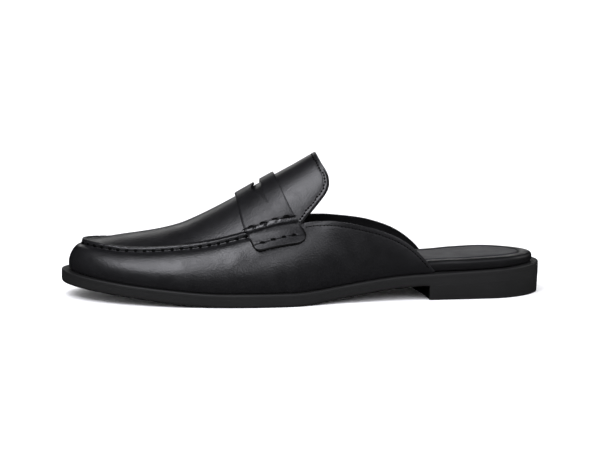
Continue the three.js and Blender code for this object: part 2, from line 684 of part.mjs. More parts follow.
// Direction out of the skin, taken over a stretch on both sides so that it turns over the seam
function outwardAt({ at, across }) {
  const AT_STEP = 0.005;
  const ACROSS_STEP = 0.035;
  const along = skinPoint({ at: at + AT_STEP, across }).sub(skinPoint({ at: at - AT_STEP, across }));
  const round = skinPoint({ at, across: across + ACROSS_STEP })
    .sub(skinPoint({ at, across: across - ACROSS_STEP }));
  return along.cross(round).normalize();
}

// Strap over the instep with a slot across its middle and a tab down each side wall
function saddleStrap() {
  const FRONT_SHARES = [0, 0.1, 0.28, 0.6, 1];
  const SLOT_STEPS = 5;
  const TAB_STEPS = 4;
  const REAR_TAB_SHARE = 0.87;
  const SLOT_POWER = 8;
  const edgesAt = (across) => {
    const out = Math.abs(across);
    const frontEdge = STRAP_FROM_TOE + strapFront(out);
    const rearEdge = STRAP_FROM_TOE + STRAP_WIDTH + strapRear(out);
    const slotRear = mix(rearEdge, frontEdge, SLOT_FROM_REAR_EDGE / STRAP_WIDTH);
    const opening = SLOT_WIDTH * Math.sqrt(1 - Math.pow(share(out, SLOT_REACH), SLOT_POWER));
    return { frontEdge, slotFront: slotRear - opening, slotRear, rearEdge };
  };
  const atOf = (part, t, across) => {
    const { frontEdge, slotFront, slotRear, rearEdge } = edgesAt(across);
    const fromToe = part === 'front' ? mix(frontEdge, slotFront, t) : mix(rearEdge, slotRear, t);
    return fromToe / SOLE_LENGTH;
  };
  const tabEnd = (part, t) => {
    const { frontEdge, slotRear, rearEdge } = edgesAt(1);
    const fromEdge = t * (part === 'front' ? slotRear - frontEdge : rearEdge - slotRear);
    const round = TAB_CORNER - Math.sqrt(TAB_CORNER ** 2 - Math.max(TAB_CORNER - fromEdge, 0) ** 2);
    const back = part === 'front' ? 0.5 * t : 1 - 0.5 * t;
    return TAB_DROP * mix(1, REAR_TAB_SHARE, back) - round;
  };
  const rowOf = (part, t) => {
    const seamAt = atOf(part, t, 1);
    const overSlot = evenShares(SLOT_STEPS).slice(1).map((step) => mix(1 - SLOT_REACH, 1, step));
    const columns = [...apronColumns(seamAt, 2, 1 - SLOT_REACH), ...overSlot];
    const tab = (side) => {
      const length = wallTop(seamAt, side).distanceTo(wallFoot(seamAt, side).foot);
      return wallColumns(seamAt, side, TAB_STEPS, tabEnd(part, t) / length)
        .map((column) => side * (1 + column));
    };
    const acrosses = [...tab(OUTER).reverse(), ...overApron(columns), ...tab(INNER)];
    return acrosses.map((across) => ({ at: atOf(part, t, across), across }));
  };
  const frontRows = FRONT_SHARES.map((t) => rowOf('front', t));
  const rearRows = FRONT_SHARES.map((t) => rowOf('rear', t)).reverse();
  const columns = frontRows[0].length;
  const frontFaces = gridFaces(frontRows.length, columns);
  const rearFaces = gridFaces(rearRows.length, columns, frontRows.flat().length);
  const corners = [...frontRows.flat(), ...rearRows.flat()];
  const sheet = weld(corners, [...frontFaces, ...rearFaces], skinPoint);
  const lifted = (thickness) => sheet.corners.map((corner) => {
    const skin = skinPoint(corner);
    return skin.clone().addScaledVector(outwardAt(corner), ridgeOver(skin) + STRAP_CLEARANCE + thickness);
  });
  return solidBetween(lifted(STRAP_THICKNESS), lifted(0), sheet.faces);
}

function part(name, geometry, color, roughness) {
  const material = new THREE.MeshStandardMaterial({ color, roughness, metalness: 0 });
  const mesh = new THREE.Mesh(geometry, material);
  mesh.name = name;
  return mesh;
}

const group = new THREE.Group();
group.add(
  part('outsole', outsole(), 0x1c1c1d, 0.6),
  part('heel', heel(), 0x1c1c1d, 0.6),
  part('welt', welt(), 0x222223, 0.55),
  part('footbed', footbed(), 0x262628, 0.5),
  part('sock_lining', sockLining(), 0x3a3a3d, 0.6),
  part('upper', upper(), 0x232325, 0.4),
  part('saddle_strap', saddleStrap(), 0x262628, 0.4),
);

// The origin lies under the middle of the whole shoe
const box = new THREE.Box3().setFromObject(group);
group.position.set(-(box.min.x + box.max.x) / 2, -(box.min.y + box.max.y) / 2, -box.min.z);

export default group;
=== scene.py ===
from bisect import bisect_right
from functools import lru_cache
from math import acos, cos, exp, hypot, pi, radians, sin, sqrt

import bmesh
import bpy
from mathutils import Matrix, Vector
from mathutils.bvhtree import BVHTree
from mathutils.kdtree import KDTree


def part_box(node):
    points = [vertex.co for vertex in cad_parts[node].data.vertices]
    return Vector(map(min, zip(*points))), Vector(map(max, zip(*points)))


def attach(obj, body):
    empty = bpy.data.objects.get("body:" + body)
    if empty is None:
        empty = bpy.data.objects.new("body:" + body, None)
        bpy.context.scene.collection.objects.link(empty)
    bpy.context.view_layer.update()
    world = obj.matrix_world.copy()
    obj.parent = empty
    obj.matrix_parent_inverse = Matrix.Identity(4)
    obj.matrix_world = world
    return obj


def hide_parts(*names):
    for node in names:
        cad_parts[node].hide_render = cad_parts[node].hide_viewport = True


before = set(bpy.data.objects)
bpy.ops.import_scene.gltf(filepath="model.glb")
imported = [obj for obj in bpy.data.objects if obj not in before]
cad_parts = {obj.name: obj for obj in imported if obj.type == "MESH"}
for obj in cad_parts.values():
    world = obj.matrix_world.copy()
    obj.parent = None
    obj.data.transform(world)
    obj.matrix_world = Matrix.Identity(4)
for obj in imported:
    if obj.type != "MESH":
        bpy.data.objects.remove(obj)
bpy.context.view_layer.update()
MM = 0.001

# Sole, in plan and from the side
SOLE_LENGTH = 304
BALL_WIDTH = 103
WAIST_WIDTH = 68
HEEL_WIDTH = 68.6
TOE_ROUND_LENGTH = 82
HEEL_ROUND_LENGTH = 38
TOE_SPRING = 9.3
ARCH_RISE = 9
SEAT_RISE = 3.5
OUTSOLE_THICKNESS = 5.4

# Heel block
HEEL_LENGTH = 75.5
BREAST_SKEW = 9.5
BREAST_HOLLOW = 2.5
HEEL_TAPER = 0.7

# Welt, footbed and sock lining
WELT_THICKNESS = 2.4
WELT_WIDTH = 13
WELT_LEDGE = 4.2
TOE_LEDGE = 5.2
TOE_LEDGE_LENGTH = 40
WELT_SETBACK = 0.35
FOOTBED_THICKNESS = 6.6
FOOTBED_END_THICKNESS = 5.4
FOOTBED_END_LENGTH = 40
FOOTBED_RIM = 8.5
FOOTBED_ROUND = 2.4
FOOTBED_CLEARANCE = 0.8
FOOTBED_FLARE_LENGTH = 18
SOCK_THICKNESS = 1.3
SOCK_RECESS = 1.4

# Upper
WALL = 2
APRON_WIDTH = 66
APRON_ROUND_LENGTH = 58
APRON_FROM_TOE = 14.6
TOPLINE_HEIGHT = 41.2
TONGUE_HEIGHT = 80.7
TONGUE_LENGTH = 17.4
NOTCH_FROM_TOE = 149
OUTER_WING_LENGTH = 83
INNER_WING_LENGTH = 86
WALL_BULGE = 3
RIDGE_HEIGHT = 1.6
RIDGE_WIDTH = 5

# Saddle strap
STRAP_THICKNESS = 1.7
STRAP_FROM_TOE = 110
STRAP_WIDTH = 24
STRAP_SWEEP = 16.8
STRAP_CLEARANCE = 0.45
TAB_DROP = 15.5
TAB_CORNER = 5
SLOT_REACH = 0.72

# Stitching
SEAM_PITCH = 5.7
GATHER_PITCH = 7.3
GATHER_LEAN = 2.1
TAB_LEAN = 2.2
FINE_PITCH = 2.2
STITCH_FROM_EDGE = 2.8
SEAM_STITCH = 2.6
GATHER_STITCH = 2.9
TAB_STITCH = 10
GATHER_FROM_TOE = 118.6
TAB_HOLE_FROM_TOE = 124.8
TAB_PITCH = 6.7
TAB_LAST_BACK = 0.003
# Length, width and height of each bead, and its lift off the leather where it has one
# The hole beads are painted shadow: black beads laid where the needle holes are
TONGUE_HOLE_SHADOW = (1.5, 1.5, 0.4)
TOPLINE_HOLE_SHADOW = (0.9, 0.9, 0.4)
FINE_THREAD = (1.5, 0.5, 0.3)
SEAM_HOLE_SHADOW = (3.0, 1.9, 0.9)
SEAM_THREAD = (4.6, 0.9, 0.7)
GATHER_HOLE_SHADOW = (4.2, 3.2, 1.6, 0.35)
GATHER_THREAD = (5.6, 1.0, 0.9, 0.1)
TAB_HOLE_SHADOW = (3.4, 2.0, 1.0)
TAB_THREAD = (4.6, 0.6, 0.4)

# Swell of the side wall under the seam, from the toe to the ball of the foot
SWELL_HEIGHT = 0.6
SWELL_BELOW_SEAM = 7
SWELL_WIDTH = 6
SWELL_END_AT = 0.36
SWELL_FADE = 0.12

# Clearance, edges and joins
GAP = 0.3
EDGE_ROUND = 0.5
STRAP_EDGE_ROUND = 0.65
WELD_REACH = 0.02
SLIVER = 0.005
CREASE_ANGLE = 42
OUTER, INNER = -1, 1

# Plan of the sole: share of its length from the toe, half width, swing of the centre line
PLAN = [
    (0, 0.45 * BALL_WIDTH, 0.045 * BALL_WIDTH),
    (0.125, 0.46 * BALL_WIDTH, 0.03 * BALL_WIDTH),
    (0.243, 0.485 * BALL_WIDTH, 0.012 * BALL_WIDTH),
    (0.362, 0.5 * BALL_WIDTH, -0.01 * BALL_WIDTH),
    (0.461, 0.475 * BALL_WIDTH, -0.028 * BALL_WIDTH),
    (0.579, 0.56 * WAIST_WIDTH, -0.04 * BALL_WIDTH),
    (0.697, 0.5 * WAIST_WIDTH, -0.025 * BALL_WIDTH),
    (0.796, 0.5 * HEEL_WIDTH, -0.008 * BALL_WIDTH),
    (0.895, 0.49 * HEEL_WIDTH, 0),
    (1, 0.455 * HEEL_WIDTH, 0),
]
# Outsole from the side: share of the length, lift of the underside, share of the thickness
ROCKER = [
    (0, TOE_SPRING, 0.98),
    (0.051, 0.84 * TOE_SPRING, 0.93),
    (0.135, 0.57 * TOE_SPRING, 0.85),
    (0.234, 0.23 * TOE_SPRING, 0.95),
    (0.283, 0.08 * TOE_SPRING, 0.98),
    (0.332, 0, 1),
    (0.47, 0, 1),
    (0.52, 0.12 * ARCH_RISE, 0.96),
    (0.564, 0.32 * ARCH_RISE, 0.93),
    (0.609, 0.54 * ARCH_RISE, 0.9),
    (0.648, 0.72 * ARCH_RISE, 0.87),
    (0.702, 0.91 * ARCH_RISE, 0.84),
    (0.752, ARCH_RISE, 0.84),
]
# Sewn seam round the apron: share of the length, half width by the apron's width, and heights on
# the outer and the inner side by the topline's height
SEAM = [
    (0.048, 0.4, 0.457, 0.457),
    (0.089, 0.41, 0.461, 0.462),
    (0.125, 0.415, 0.468, 0.48),
    (0.164, 0.425, 0.494, 0.503),
    (0.204, 0.435, 0.534, 0.537),
    (0.253, 0.452, 0.598, 0.592),
    (0.303, 0.468, 0.676, 0.666),
    (0.352, 0.48, 0.768, 0.743),
    (0.401, 0.49, 0.865, 0.82),
    (0.451, 0.497, 0.95, 0.877),
    (0.49, 0.5, 0.985, 0.905),
    (0.569, 0.5, 1.01, 0.935),
]
# Free top edge of the wings: run from the notch to the end, half width by the apron's width, and
# the two heights by the topline's height
TOPLINE = [
    (0, 0.5, 0.985, 0.905),
    (0.1, 0.5, 1, 0.905),
    (0.2, 0.5, 0.98, 0.885),
    (0.32, 0.498, 0.92, 0.835),
    (0.43, 0.494, 0.845, 0.78),
    (0.545, 0.486, 0.755, 0.71),
    (0.66, 0.477, 0.643, 0.615),
    (0.74, 0.471, 0.55, 0.535),
    (0.82, 0.465, 0.43, 0.43),
    (0.9, 0.46, 0.27, 0.29),
    (0.955, 0.457, 0.14, 0.165),
    (1, 0.453, 0.02, 0.02),
]
# Middle line of the apron and the tongue: share of the length, height by the tongue's height
SPINE = [
    (0.048, 0.23), (0.086, 0.268), (0.125, 0.308),
    (0.164, 0.342), (0.204, 0.38), (0.243, 0.43),
    (0.283, 0.505), (0.322, 0.585), (0.362, 0.667),
    (0.421, 0.793), (0.49, 0.934), (0.525, 1),
    (0.569, 1.07),
]
# Free end of the tongue: across from the middle line to the notch, and the reach behind the
# notch by the tongue's length
TONGUE_END = [
    (0, 0.6), (0.23, 0.655), (0.42, 0.76),
    (0.55, 0.9), (0.63, 0.98), (0.7, 1),
    (0.76, 0.94), (0.81, 0.79), (0.85, 0.62),
    (0.9, 0.41), (0.95, 0.18), (1, 0),
]
# Sweep of the strap's front and rear edges: across, and shares of the whole sweep
STRAP = [
    (0, 0, 0),
    (0.35, 0.04, 0.09),
    (0.56, 0.08, 0.214),
    (0.78, 0.14, 0.41),
    (0.94, 0.24, 0.65),
    (1.04, 0.35, 0.79),
    (1.14, 0.42, 0.92),
    (1.25, 0.52, 0.99),
    (1.4, 0.67, 1),
]
# Slot in the strap: across, and its front and rear edges behind the strap's front corner, by
# the strap's width. From SLOT_REACH outwards the two parts of the strap meet
SLOT = [
    (0, 0.51, 0.67),
    (0.08, 0.48, 0.67),
    (0.15, 0.44, 0.67),
    (0.22, 0.425, 0.672),
    (0.36, 0.455, 0.674),
    (0.44, 0.55, 0.684),
    (0.524, 0.64, 0.7),
    (0.584, 0.675, 0.73),
    (0.65, 0.72, 0.77),
    (0.72, 0.81, 0.81),
    (1, 0.93, 0.93),
    (1.4, 1, 1),
]
# Strap over the sewn seam: mm down from the seam, height of its outside there
GATHER = [
    (-2.3, 0), (-1.5, 1.5), (-0.6, 2.45), (0.2, 2.4), (1, 2.1), (1.6, 1.45), (2.3, 0.7),
    (3.5, 0.1), (5.5, -0.35), (8, -0.4), (11, 0),
]
# Soft troughs in the leather: share along the sole, across (past 1 on the wall), length and
# width in mm, depth in mm, and the lean of the trough from upright in degrees
TROUGHS = [
    (0.345, -1.35, 16, 3.2, 0.09, 25),
    (0.385, -1.5, 20, 3.6, 0.11, 18),
    (0.43, -1.55, 17, 3.4, 0.1, 8),
    (0.53, -1.3, 18, 5.0, 0.14, -30),
    (0.58, -1.45, 22, 6.0, 0.14, -20),
    (0.37, 1.4, 18, 3.4, 0.1, 20),
    (0.42, 1.5, 18, 3.6, 0.11, 10),
    (0.55, 1.35, 20, 5.5, 0.14, -25),
]


def follow(rows, column, unit=1):
    """Smooth curve through one column of a table, with no overshoot between its rows."""
    x = [row[0] for row in rows]
    y = [row[column] * unit for row in rows]
    last = len(x) - 1
    slope = [(y[i + 1] - y[i]) / (x[i + 1] - x[i]) for i in range(last)]
    tangent = [slope[0]]
    for before, after in zip(slope, slope[1:]):
        tangent.append(0 if before * after <= 0 else 2 / (1 / before + 1 / after))
    tangent.append(slope[-1])

    def value(at):
        place = min(max(at, x[0]), x[last])
        i = min(bisect_right(x, place) - 1, last - 1)
        span = x[i + 1] - x[i]
        t = (place - x[i]) / span
        rest = 1 - t
        return ((1 + 2 * t) * rest * rest * y[i] + t * rest * rest * span * tangent[i]
                + t * t * (3 - 2 * t) * y[i + 1] - t * t * rest * span * tangent[i + 1])

    return value


plan_half, plan_swing = follow(PLAN, 1), follow(PLAN, 2)
rocker_lift, outsole_thick = follow(ROCKER, 1), follow(ROCKER, 2, OUTSOLE_THICKNESS)
seam_half = follow(SEAM, 1, APRON_WIDTH)
seam_rise = {OUTER: follow(SEAM, 2, TOPLINE_HEIGHT), INNER: follow(SEAM, 3, TOPLINE_HEIGHT)}
topline_half = follow(TOPLINE, 1, APRON_WIDTH)
topline_rise = {OUTER: follow(TOPLINE, 2, TOPLINE_HEIGHT),
                INNER: follow(TOPLINE, 3, TOPLINE_HEIGHT)}
spine_rise = follow(SPINE, 1, TONGUE_HEIGHT)
tongue_beyond = follow(TONGUE_END, 1, TONGUE_LENGTH)
strap_front, strap_rear = follow(STRAP, 1, STRAP_SWEEP), follow(STRAP, 2, STRAP_SWEEP)
slot_front, slot_rear = follow(SLOT, 1, STRAP_WIDTH), follow(SLOT, 2, STRAP_WIDTH)
gather_rise = follow(GATHER, 1)

BREAST_AT = 1 - HEEL_LENGTH / SOLE_LENGTH
APRON_AT = APRON_FROM_TOE / SOLE_LENGTH
NOTCH_AT = NOTCH_FROM_TOE / SOLE_LENGTH
WING_END_AT = {
    OUTER: NOTCH_AT + OUTER_WING_LENGTH / SOLE_LENGTH,
    INNER: NOTCH_AT + INNER_WING_LENGTH / SOLE_LENGTH,
}


def x_at(at):
    return (at - 0.5) * SOLE_LENGTH


def mix(a, b, t):
    return a + (b - a) * t


def share(part, whole):
    return min(max(part / whole, 0), 1)


def smooth(t):
    return t * t * (3 - 2 * t)


def bell(distance, width):
    return exp(-((distance / width) ** 2))


def hump(distance, reach):
    """1 on a line, falling softly to 0 at the given reach from it."""
    return 0.5 + 0.5 * cos(pi * share(abs(distance), reach))


def closing(distance, length):
    return sqrt(max(1 - (1 - share(distance, length)) ** 2, 0))


def sole_edge(at, side):
    half = (plan_half(at) * closing(at * SOLE_LENGTH, TOE_ROUND_LENGTH)
            * closing((1 - at) * SOLE_LENGTH, HEEL_ROUND_LENGTH))
    return Vector((x_at(at), plan_swing(at) + side * half))


def inset(at, side, distance):
    """The sole's edge moved inwards, square to itself."""
    step = 0.004
    angle = acos(min(max(1 - 2 * at, -1), 1))

    def edge_at(turn):
        across = -side if turn < 0 or turn > pi else side
        return sole_edge((1 - cos(turn)) / 2, across)

    along = (edge_at(angle + step) - edge_at(angle - step)).normalized()
    return sole_edge(at, side) + Vector((along.y, -along.x)) * side * distance


def underside(x):
    at = x / SOLE_LENGTH + 0.5
    if at < BREAST_AT:
        return rocker_lift(at)
    return ARCH_RISE + SEAT_RISE * (at - BREAST_AT) / (1 - BREAST_AT)


def outsole_top(x):
    return underside(x) + outsole_thick(x / SOLE_LENGTH + 0.5)


def welt_bottom(x):
    return outsole_top(x) + GAP


def welt_top(x):
    return welt_bottom(x) + WELT_THICKNESS


def bed_bottom(x):
    return welt_top(x) + GAP


def bed_top(x):
    ease = smooth(1 - share(SOLE_LENGTH / 2 - x, FOOTBED_END_LENGTH))
    return bed_bottom(x) + mix(FOOTBED_THICKNESS, FOOTBED_END_THICKNESS, ease)


def ledge_at(at):
    return mix(TOE_LEDGE, WELT_LEDGE, smooth(share(at * SOLE_LENGTH, TOE_LEDGE_LENGTH)))


def footbed_inset(at):
    inside = ledge_at(at) + WALL + FOOTBED_CLEARANCE
    past_wing = (at - max(WING_END_AT.values())) * SOLE_LENGTH - FOOTBED_CLEARANCE
    return mix(inside, WELT_LEDGE, smooth(share(past_wing, FOOTBED_FLARE_LENGTH)))


# The CAD model stands in the middle of its own box, so everything is moved by the same step
def box_shift():
    low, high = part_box("outsole")
    steps = 400
    edges = [sole_edge((1 - cos(pi * i / steps)) / 2, side).y
             for i in range(steps + 1) for side in (OUTER, INNER)]
    return Vector((0, 1000 * (low.y + high.y) / 2 - (min(edges) + max(edges)) / 2, 0))


SHIFT = box_shift()


def metres(point):
    return (point + SHIFT) * MM


# Sections of the upper


@lru_cache(maxsize=None)
def seam_point(at, side):
    width = closing((at - APRON_AT) * SOLE_LENGTH, APRON_ROUND_LENGTH)
    x = x_at(at)
    y = plan_swing(at) + side * seam_half(at) * width
    return Vector((x, y, bed_bottom(x) + seam_rise[side](at)))


def topline_point(at, side):
    run = (at - NOTCH_AT) / (WING_END_AT[side] - NOTCH_AT)
    x = x_at(at)
    y = plan_swing(at) + side * topline_half(run)
    return Vector((x, y, bed_bottom(x) + topline_rise[side](run)))


@lru_cache(maxsize=None)
def wall_curve(at, side):
    """Four points that shape one upright section of the side wall, from the welt up."""
    foot_at = NOTCH_AT * share(at - APRON_AT, NOTCH_AT - APRON_AT) if at < NOTCH_AT else at
    plan = inset(foot_at, side, ledge_at(foot_at))
    outward = (sole_edge(foot_at, side) - plan).normalized().to_3d()
    foot = Vector((plan.x, plan.y, bed_bottom(plan.x)))
    top = topline_point(at, side) if at > NOTCH_AT else seam_point(at, side)
    rise = top.z - foot.z
    lean = hypot(foot.x - top.x, foot.y - top.y)
    bulge = WALL_BULGE * share(rise, TOPLINE_HEIGHT / 2)
    low = foot + outward * bulge + Vector((0, 0, 0.4 * rise))
    high = top + outward * 0.65 * lean - Vector((0, 0, 0.22 * rise))
    return foot, low, high, top


def wall_point(at, side, height):
    foot, low, high, top = wall_curve(at, side)
    rest = 1 - height
    return (foot * rest ** 3 + low * 3 * rest * rest * height
            + high * 3 * rest * height * height + top * height ** 3)


@lru_cache(maxsize=None)
def apron_crown(at):
    outer, inner = seam_point(at, OUTER), seam_point(at, INNER)
    return outer, inner, bed_bottom(x_at(at)) + spine_rise(at) - (outer.z + inner.z) / 2


def skin_point(at, across):
    """Outside of the upper: -2 and 2 on the welt, -1 and 1 on the seam, 0 on the middle line."""
    if abs(across) < 1:
        outer, inner, crown = apron_crown(at)
        point = outer.lerp(inner, (across + 1) / 2)
        point.z += crown * (1 - across * across)
        return point
    return wall_point(at, 1 if across > 0 else -1, 2 - abs(across))


def outward_at(at, across):
    at_step, across_step = 0.005, 0.035
    along = skin_point(at + at_step, across) - skin_point(at - at_step, across)
    sideways = skin_point(at, across + across_step) - skin_point(at, across - across_step)
    return along.cross(sideways).normalized()


@lru_cache(maxsize=None)
def lengths_from_seam(at, way):
    """Running lengths from the seam: way -2 or 2 down a wall, -1 or 1 to the middle line."""
    steps = 24
    side = 1 if way > 0 else -1
    places = [side * (1 + i / steps if abs(way) == 2 else 1 - i / steps) for i in range(steps + 1)]
    points = [skin_point(at, place) for place in places]
    running = [0]
    for before, after in zip(points, points[1:]):
        running.append(running[-1] + (after - before).length)
    return places, running


def across_at(at, way, distance):
    places, running = lengths_from_seam(at, way)
    i = min(max(bisect_right(running, distance) - 1, 0), len(running) - 2)
    span = running[i + 1] - running[i]
    return mix(places[i], places[i + 1], (distance - running[i]) / span if span > 0 else 0)


def spread(total, fine, step, coarse):
    """Distances from 0 to total: small steps over the first stretch, then even ones."""
    scale = min(1, 0.55 * total / fine) if total > 0 else 0
    count = round(fine / step)
    near = [scale * step * i for i in range(count + 1)]
    return near + [mix(near[-1], total, i / coarse) for i in range(1, coarse + 1)]


# Line of the sewn seam on both sides, with the length along it from the toe
class SeamLine:
    def __init__(self):
        fine = 900
        self.tree = KDTree(2 * (fine + 1))
        self.run = []
        self.stations = []
        for side in (OUTER, INNER):
            before, length = None, 0
            for i in range(fine + 1):
                at = mix(APRON_AT, NOTCH_AT, 1 - cos(pi / 2 * i / fine))
                point = seam_point(at, side)
                length += (point - before).length if before else 0
                before = point
                self.tree.insert(point, len(self.run))
                self.run.append(length)
                if side == OUTER:
                    self.stations.append((length, at))
        self.tree.balance()
        self.end = self.run[fine]

    def nearest(self, point):
        _, index, distance = self.tree.find(point)
        return distance, self.run[index]

    def run_at(self, at):
        nearest = min(range(len(self.stations)), key=lambda i: abs(self.stations[i][1] - at))
        return self.run[nearest]

    def at_run(self, run):
        i = min(bisect_right(self.stations, (run, 0)), len(self.stations) - 1)
        (low, low_at), (high, high_at) = self.stations[i - 1], self.stations[i]
        return mix(low_at, high_at, share(run - low, high - low))


SEAM_LINE = SeamLine()
GATHER_RUN = SEAM_LINE.run_at(GATHER_FROM_TOE / SOLE_LENGTH)
TAB_RUN = SEAM_LINE.run_at(TAB_HOLE_FROM_TOE / SOLE_LENGTH)


def seam_relief(distance, run, on_wall):
    """Height of the sewn ridge, its stitch holes and the puckers under them."""
    hole = max(0, cos(2 * pi * run / SEAM_PITCH)) ** 3
    fade = smooth(share(SEAM_LINE.end - run, 4))
    crest = RIDGE_HEIGHT * (1 - 0.1 * hole)
    if not on_wall:
        return fade * crest * hump(distance, 2.6)
    below = distance - SEAM_STITCH
    valley = (0.3 + 0.3 * hole) * bell(below, 0.6 if below < 0 else 1.1)
    return fade * (crest * hump(max(distance - 0.15, 0), 2.2) - valley)


def trough_relief(point):
    """Soft hollows in the side walls."""
    total = 0
    for centre, way, length, width, depth, _ in TROUGHS:
        middle = TROUGH_CENTRES[centre, way]
        if (point.y - middle.y) * middle.y < -20 * abs(middle.y):
            continue
        offset = point - middle
        tilt = TROUGH_TILTS[centre, way]
        along = offset.x * sin(tilt) + offset.z * cos(tilt)
        beside = offset.x * cos(tilt) - offset.z * sin(tilt)
        if (point.y > 0) == (middle.y > 0):
            total -= depth * bell(along, length / 2) * bell(beside, width)
            total += 0.5 * depth * bell(along, length / 2) * bell(abs(beside) - 1.8 * width, width)
    return total


TROUGH_CENTRES = {(row[0], row[1]): skin_point(row[0], row[1]) for row in TROUGHS}
TROUGH_TILTS = {(row[0], row[1]): radians(row[5]) for row in TROUGHS}


# Mesh helpers


def sheet(bm, rows, columns, place):
    """Grid of faces whose corners are moved to place(row, column, corner), in millimetres."""
    made = bmesh.ops.create_grid(bm, x_segments=columns, y_segments=rows, size=0.5)["verts"]
    for vert in made:
        row = round((vert.co.y + 0.5) * rows)
        column = round((vert.co.x + 0.5) * columns)
        vert.co = metres(place(row, column, vert))


def weld(bm):
    bmesh.ops.remove_doubles(bm, verts=bm.verts, dist=WELD_REACH * MM)
    bmesh.ops.dissolve_degenerate(bm, edges=bm.edges, dist=SLIVER * MM)


def face_out(bm):
    bmesh.ops.recalc_face_normals(bm, faces=bm.faces)


def crown_up(bm):
    """Turns the faces of an open sheet outwards, judged by its highest face."""
    face_out(bm)
    bm.normal_update()
    crown = max(bm.faces, key=lambda face: face.calc_center_median().z)
    if crown.normal.z < 0:
        bmesh.ops.reverse_faces(bm, faces=bm.faces)


def piece(name, bm, node, materials):
    for face in bm.faces:
        face.smooth = True
    for edge in bm.edges:
        edge.smooth = edge.calc_face_angle(0) < radians(CREASE_ANGLE)
    mesh = bpy.data.meshes.new(name)
    bm.to_mesh(mesh)
    bm.free()
    for material in materials:
        mesh.materials.append(material)
    made = bpy.data.objects.new(name, mesh)
    bpy.context.scene.collection.objects.link(made)
    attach(made, "root")
    if node:
        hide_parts(node)


# Materials


def linear(hex_colour):
    """sRGB hex value as the linear colour that the shader takes."""
    parts = [int(hex_colour[i:i + 2], 16) / 255 for i in (1, 3, 5)]
    return [p / 12.92 if p <= 0.04045 else ((p + 0.055) / 1.055) ** 2.4 for p in parts] + [1]


def add(tree, kind, inputs=None, **settings):
    """Adds a node with its settings, and links or sets its inputs."""
    made = tree.nodes.new(kind)
    for name, value in settings.items():
        setattr(made, name, value)
    for socket, value in (inputs or {}).items():
        if isinstance(value, bpy.types.NodeSocket):
            tree.links.new(value, made.inputs[socket])
        else:
            made.inputs[socket].default_value = value
    return made


def new_material(name):
    material = bpy.data.materials.new(name)
    material.use_nodes = True
    tree = material.node_tree
    tree.nodes.clear()
    place = add(tree, "ShaderNodeTexCoord").outputs["Object"]
    return material, tree, place


def finish_material(material, tree, **inputs):
    sockets = {name.replace("_", " "): value for name, value in inputs.items()}
    shader = add(tree, "ShaderNodeBsdfPrincipled", sockets)
    add(tree, "ShaderNodeOutputMaterial", {"Surface": shader.outputs["BSDF"]})
    return material


def per_metre(size_mm):
    return 1000 / size_mm


# Sizes of the patterns in mm. Pores in calf are 0.1 to 0.2 mm apart and lines from a trimming
# wheel 0.1 mm wide, too fine to show, so both are drawn coarser. The clouds are their real size
PORE_SPACING = 0.9
GRAIN_SIZE = 1.6
DYE_CLOUD = 9
SUEDE_CLOUD = 12
RUBBER_CLOUD = 14
RUBBER_LINE = 0.5
WELT_LINE = 0.4
THREAD_TWIST = 0.5


def finished_leather(name, dark, light, rough, grain_depth, mottle=DYE_CLOUD, specular=0.5):
    """Leather with close pores, a faint cloud in its dye, and a shine that follows the cloud."""
    material, tree, place = new_material(name)
    pores = add(tree, "ShaderNodeTexVoronoi", {"Vector": place, "Scale": per_metre(PORE_SPACING)},
                feature="SMOOTH_F1")
    fine = add(tree, "ShaderNodeTexNoise",
               {"Vector": place, "Scale": per_metre(GRAIN_SIZE), "Detail": 4, "Roughness": 0.6})
    cloud = add(tree, "ShaderNodeTexNoise",
                {"Vector": place, "Scale": per_metre(mottle), "Detail": 3, "Roughness": 0.5})
    colour = add(tree, "ShaderNodeMix",
                 {"Factor": cloud.outputs["Fac"], "A": linear(dark), "B": linear(light)},
                 data_type="RGBA")
    roughness = add(tree, "ShaderNodeMapRange",
                    {"Value": cloud.outputs["Fac"], "From Min": 0.3, "From Max": 0.7,
                     "To Min": rough - 0.05, "To Max": rough + 0.05})
    grain = add(tree, "ShaderNodeMath", {0: pores.outputs["Distance"], 1: fine.outputs["Fac"]},
                operation="ADD")
    low = add(tree, "ShaderNodeBump",
              {"Height": cloud.outputs["Fac"], "Strength": 0.1, "Distance": 0.0006})
    bump = add(tree, "ShaderNodeBump",
               {"Height": grain.outputs["Value"], "Strength": grain_depth, "Distance": 0.00015,
                "Normal": low.outputs["Normal"]})
    return finish_material(material, tree, Base_Color=colour.outputs["Result"],
                           Roughness=roughness.outputs["Result"], IOR=1.5,
                           Specular_IOR_Level=specular, Normal=bump.outputs["Normal"])


def trimmed_rubber(name, dark, light, rough, line_mm):
    """Edge that was trimmed on a wheel: matte, with fine lines that run along the sole."""
    material, tree, place = new_material(name)
    stretched = add(tree, "ShaderNodeMapping", {"Vector": place, "Scale": (0.04, 0.04, 1)})
    lines = add(tree, "ShaderNodeTexNoise",
                {"Vector": stretched.outputs["Vector"], "Scale": per_metre(line_mm), "Detail": 3})
    cloud = add(tree, "ShaderNodeTexNoise",
                {"Vector": place, "Scale": per_metre(RUBBER_CLOUD), "Detail": 3})
    colour = add(tree, "ShaderNodeMix",
                 {"Factor": cloud.outputs["Fac"], "A": linear(dark), "B": linear(light)},
                 data_type="RGBA")
    bump = add(tree, "ShaderNodeBump",
               {"Height": lines.outputs["Fac"], "Strength": 0.35, "Distance": 0.0002})
    return finish_material(material, tree, Base_Color=colour.outputs["Result"], Roughness=rough,
                           IOR=1.5, Specular_IOR_Level=0.35, Normal=bump.outputs["Normal"])


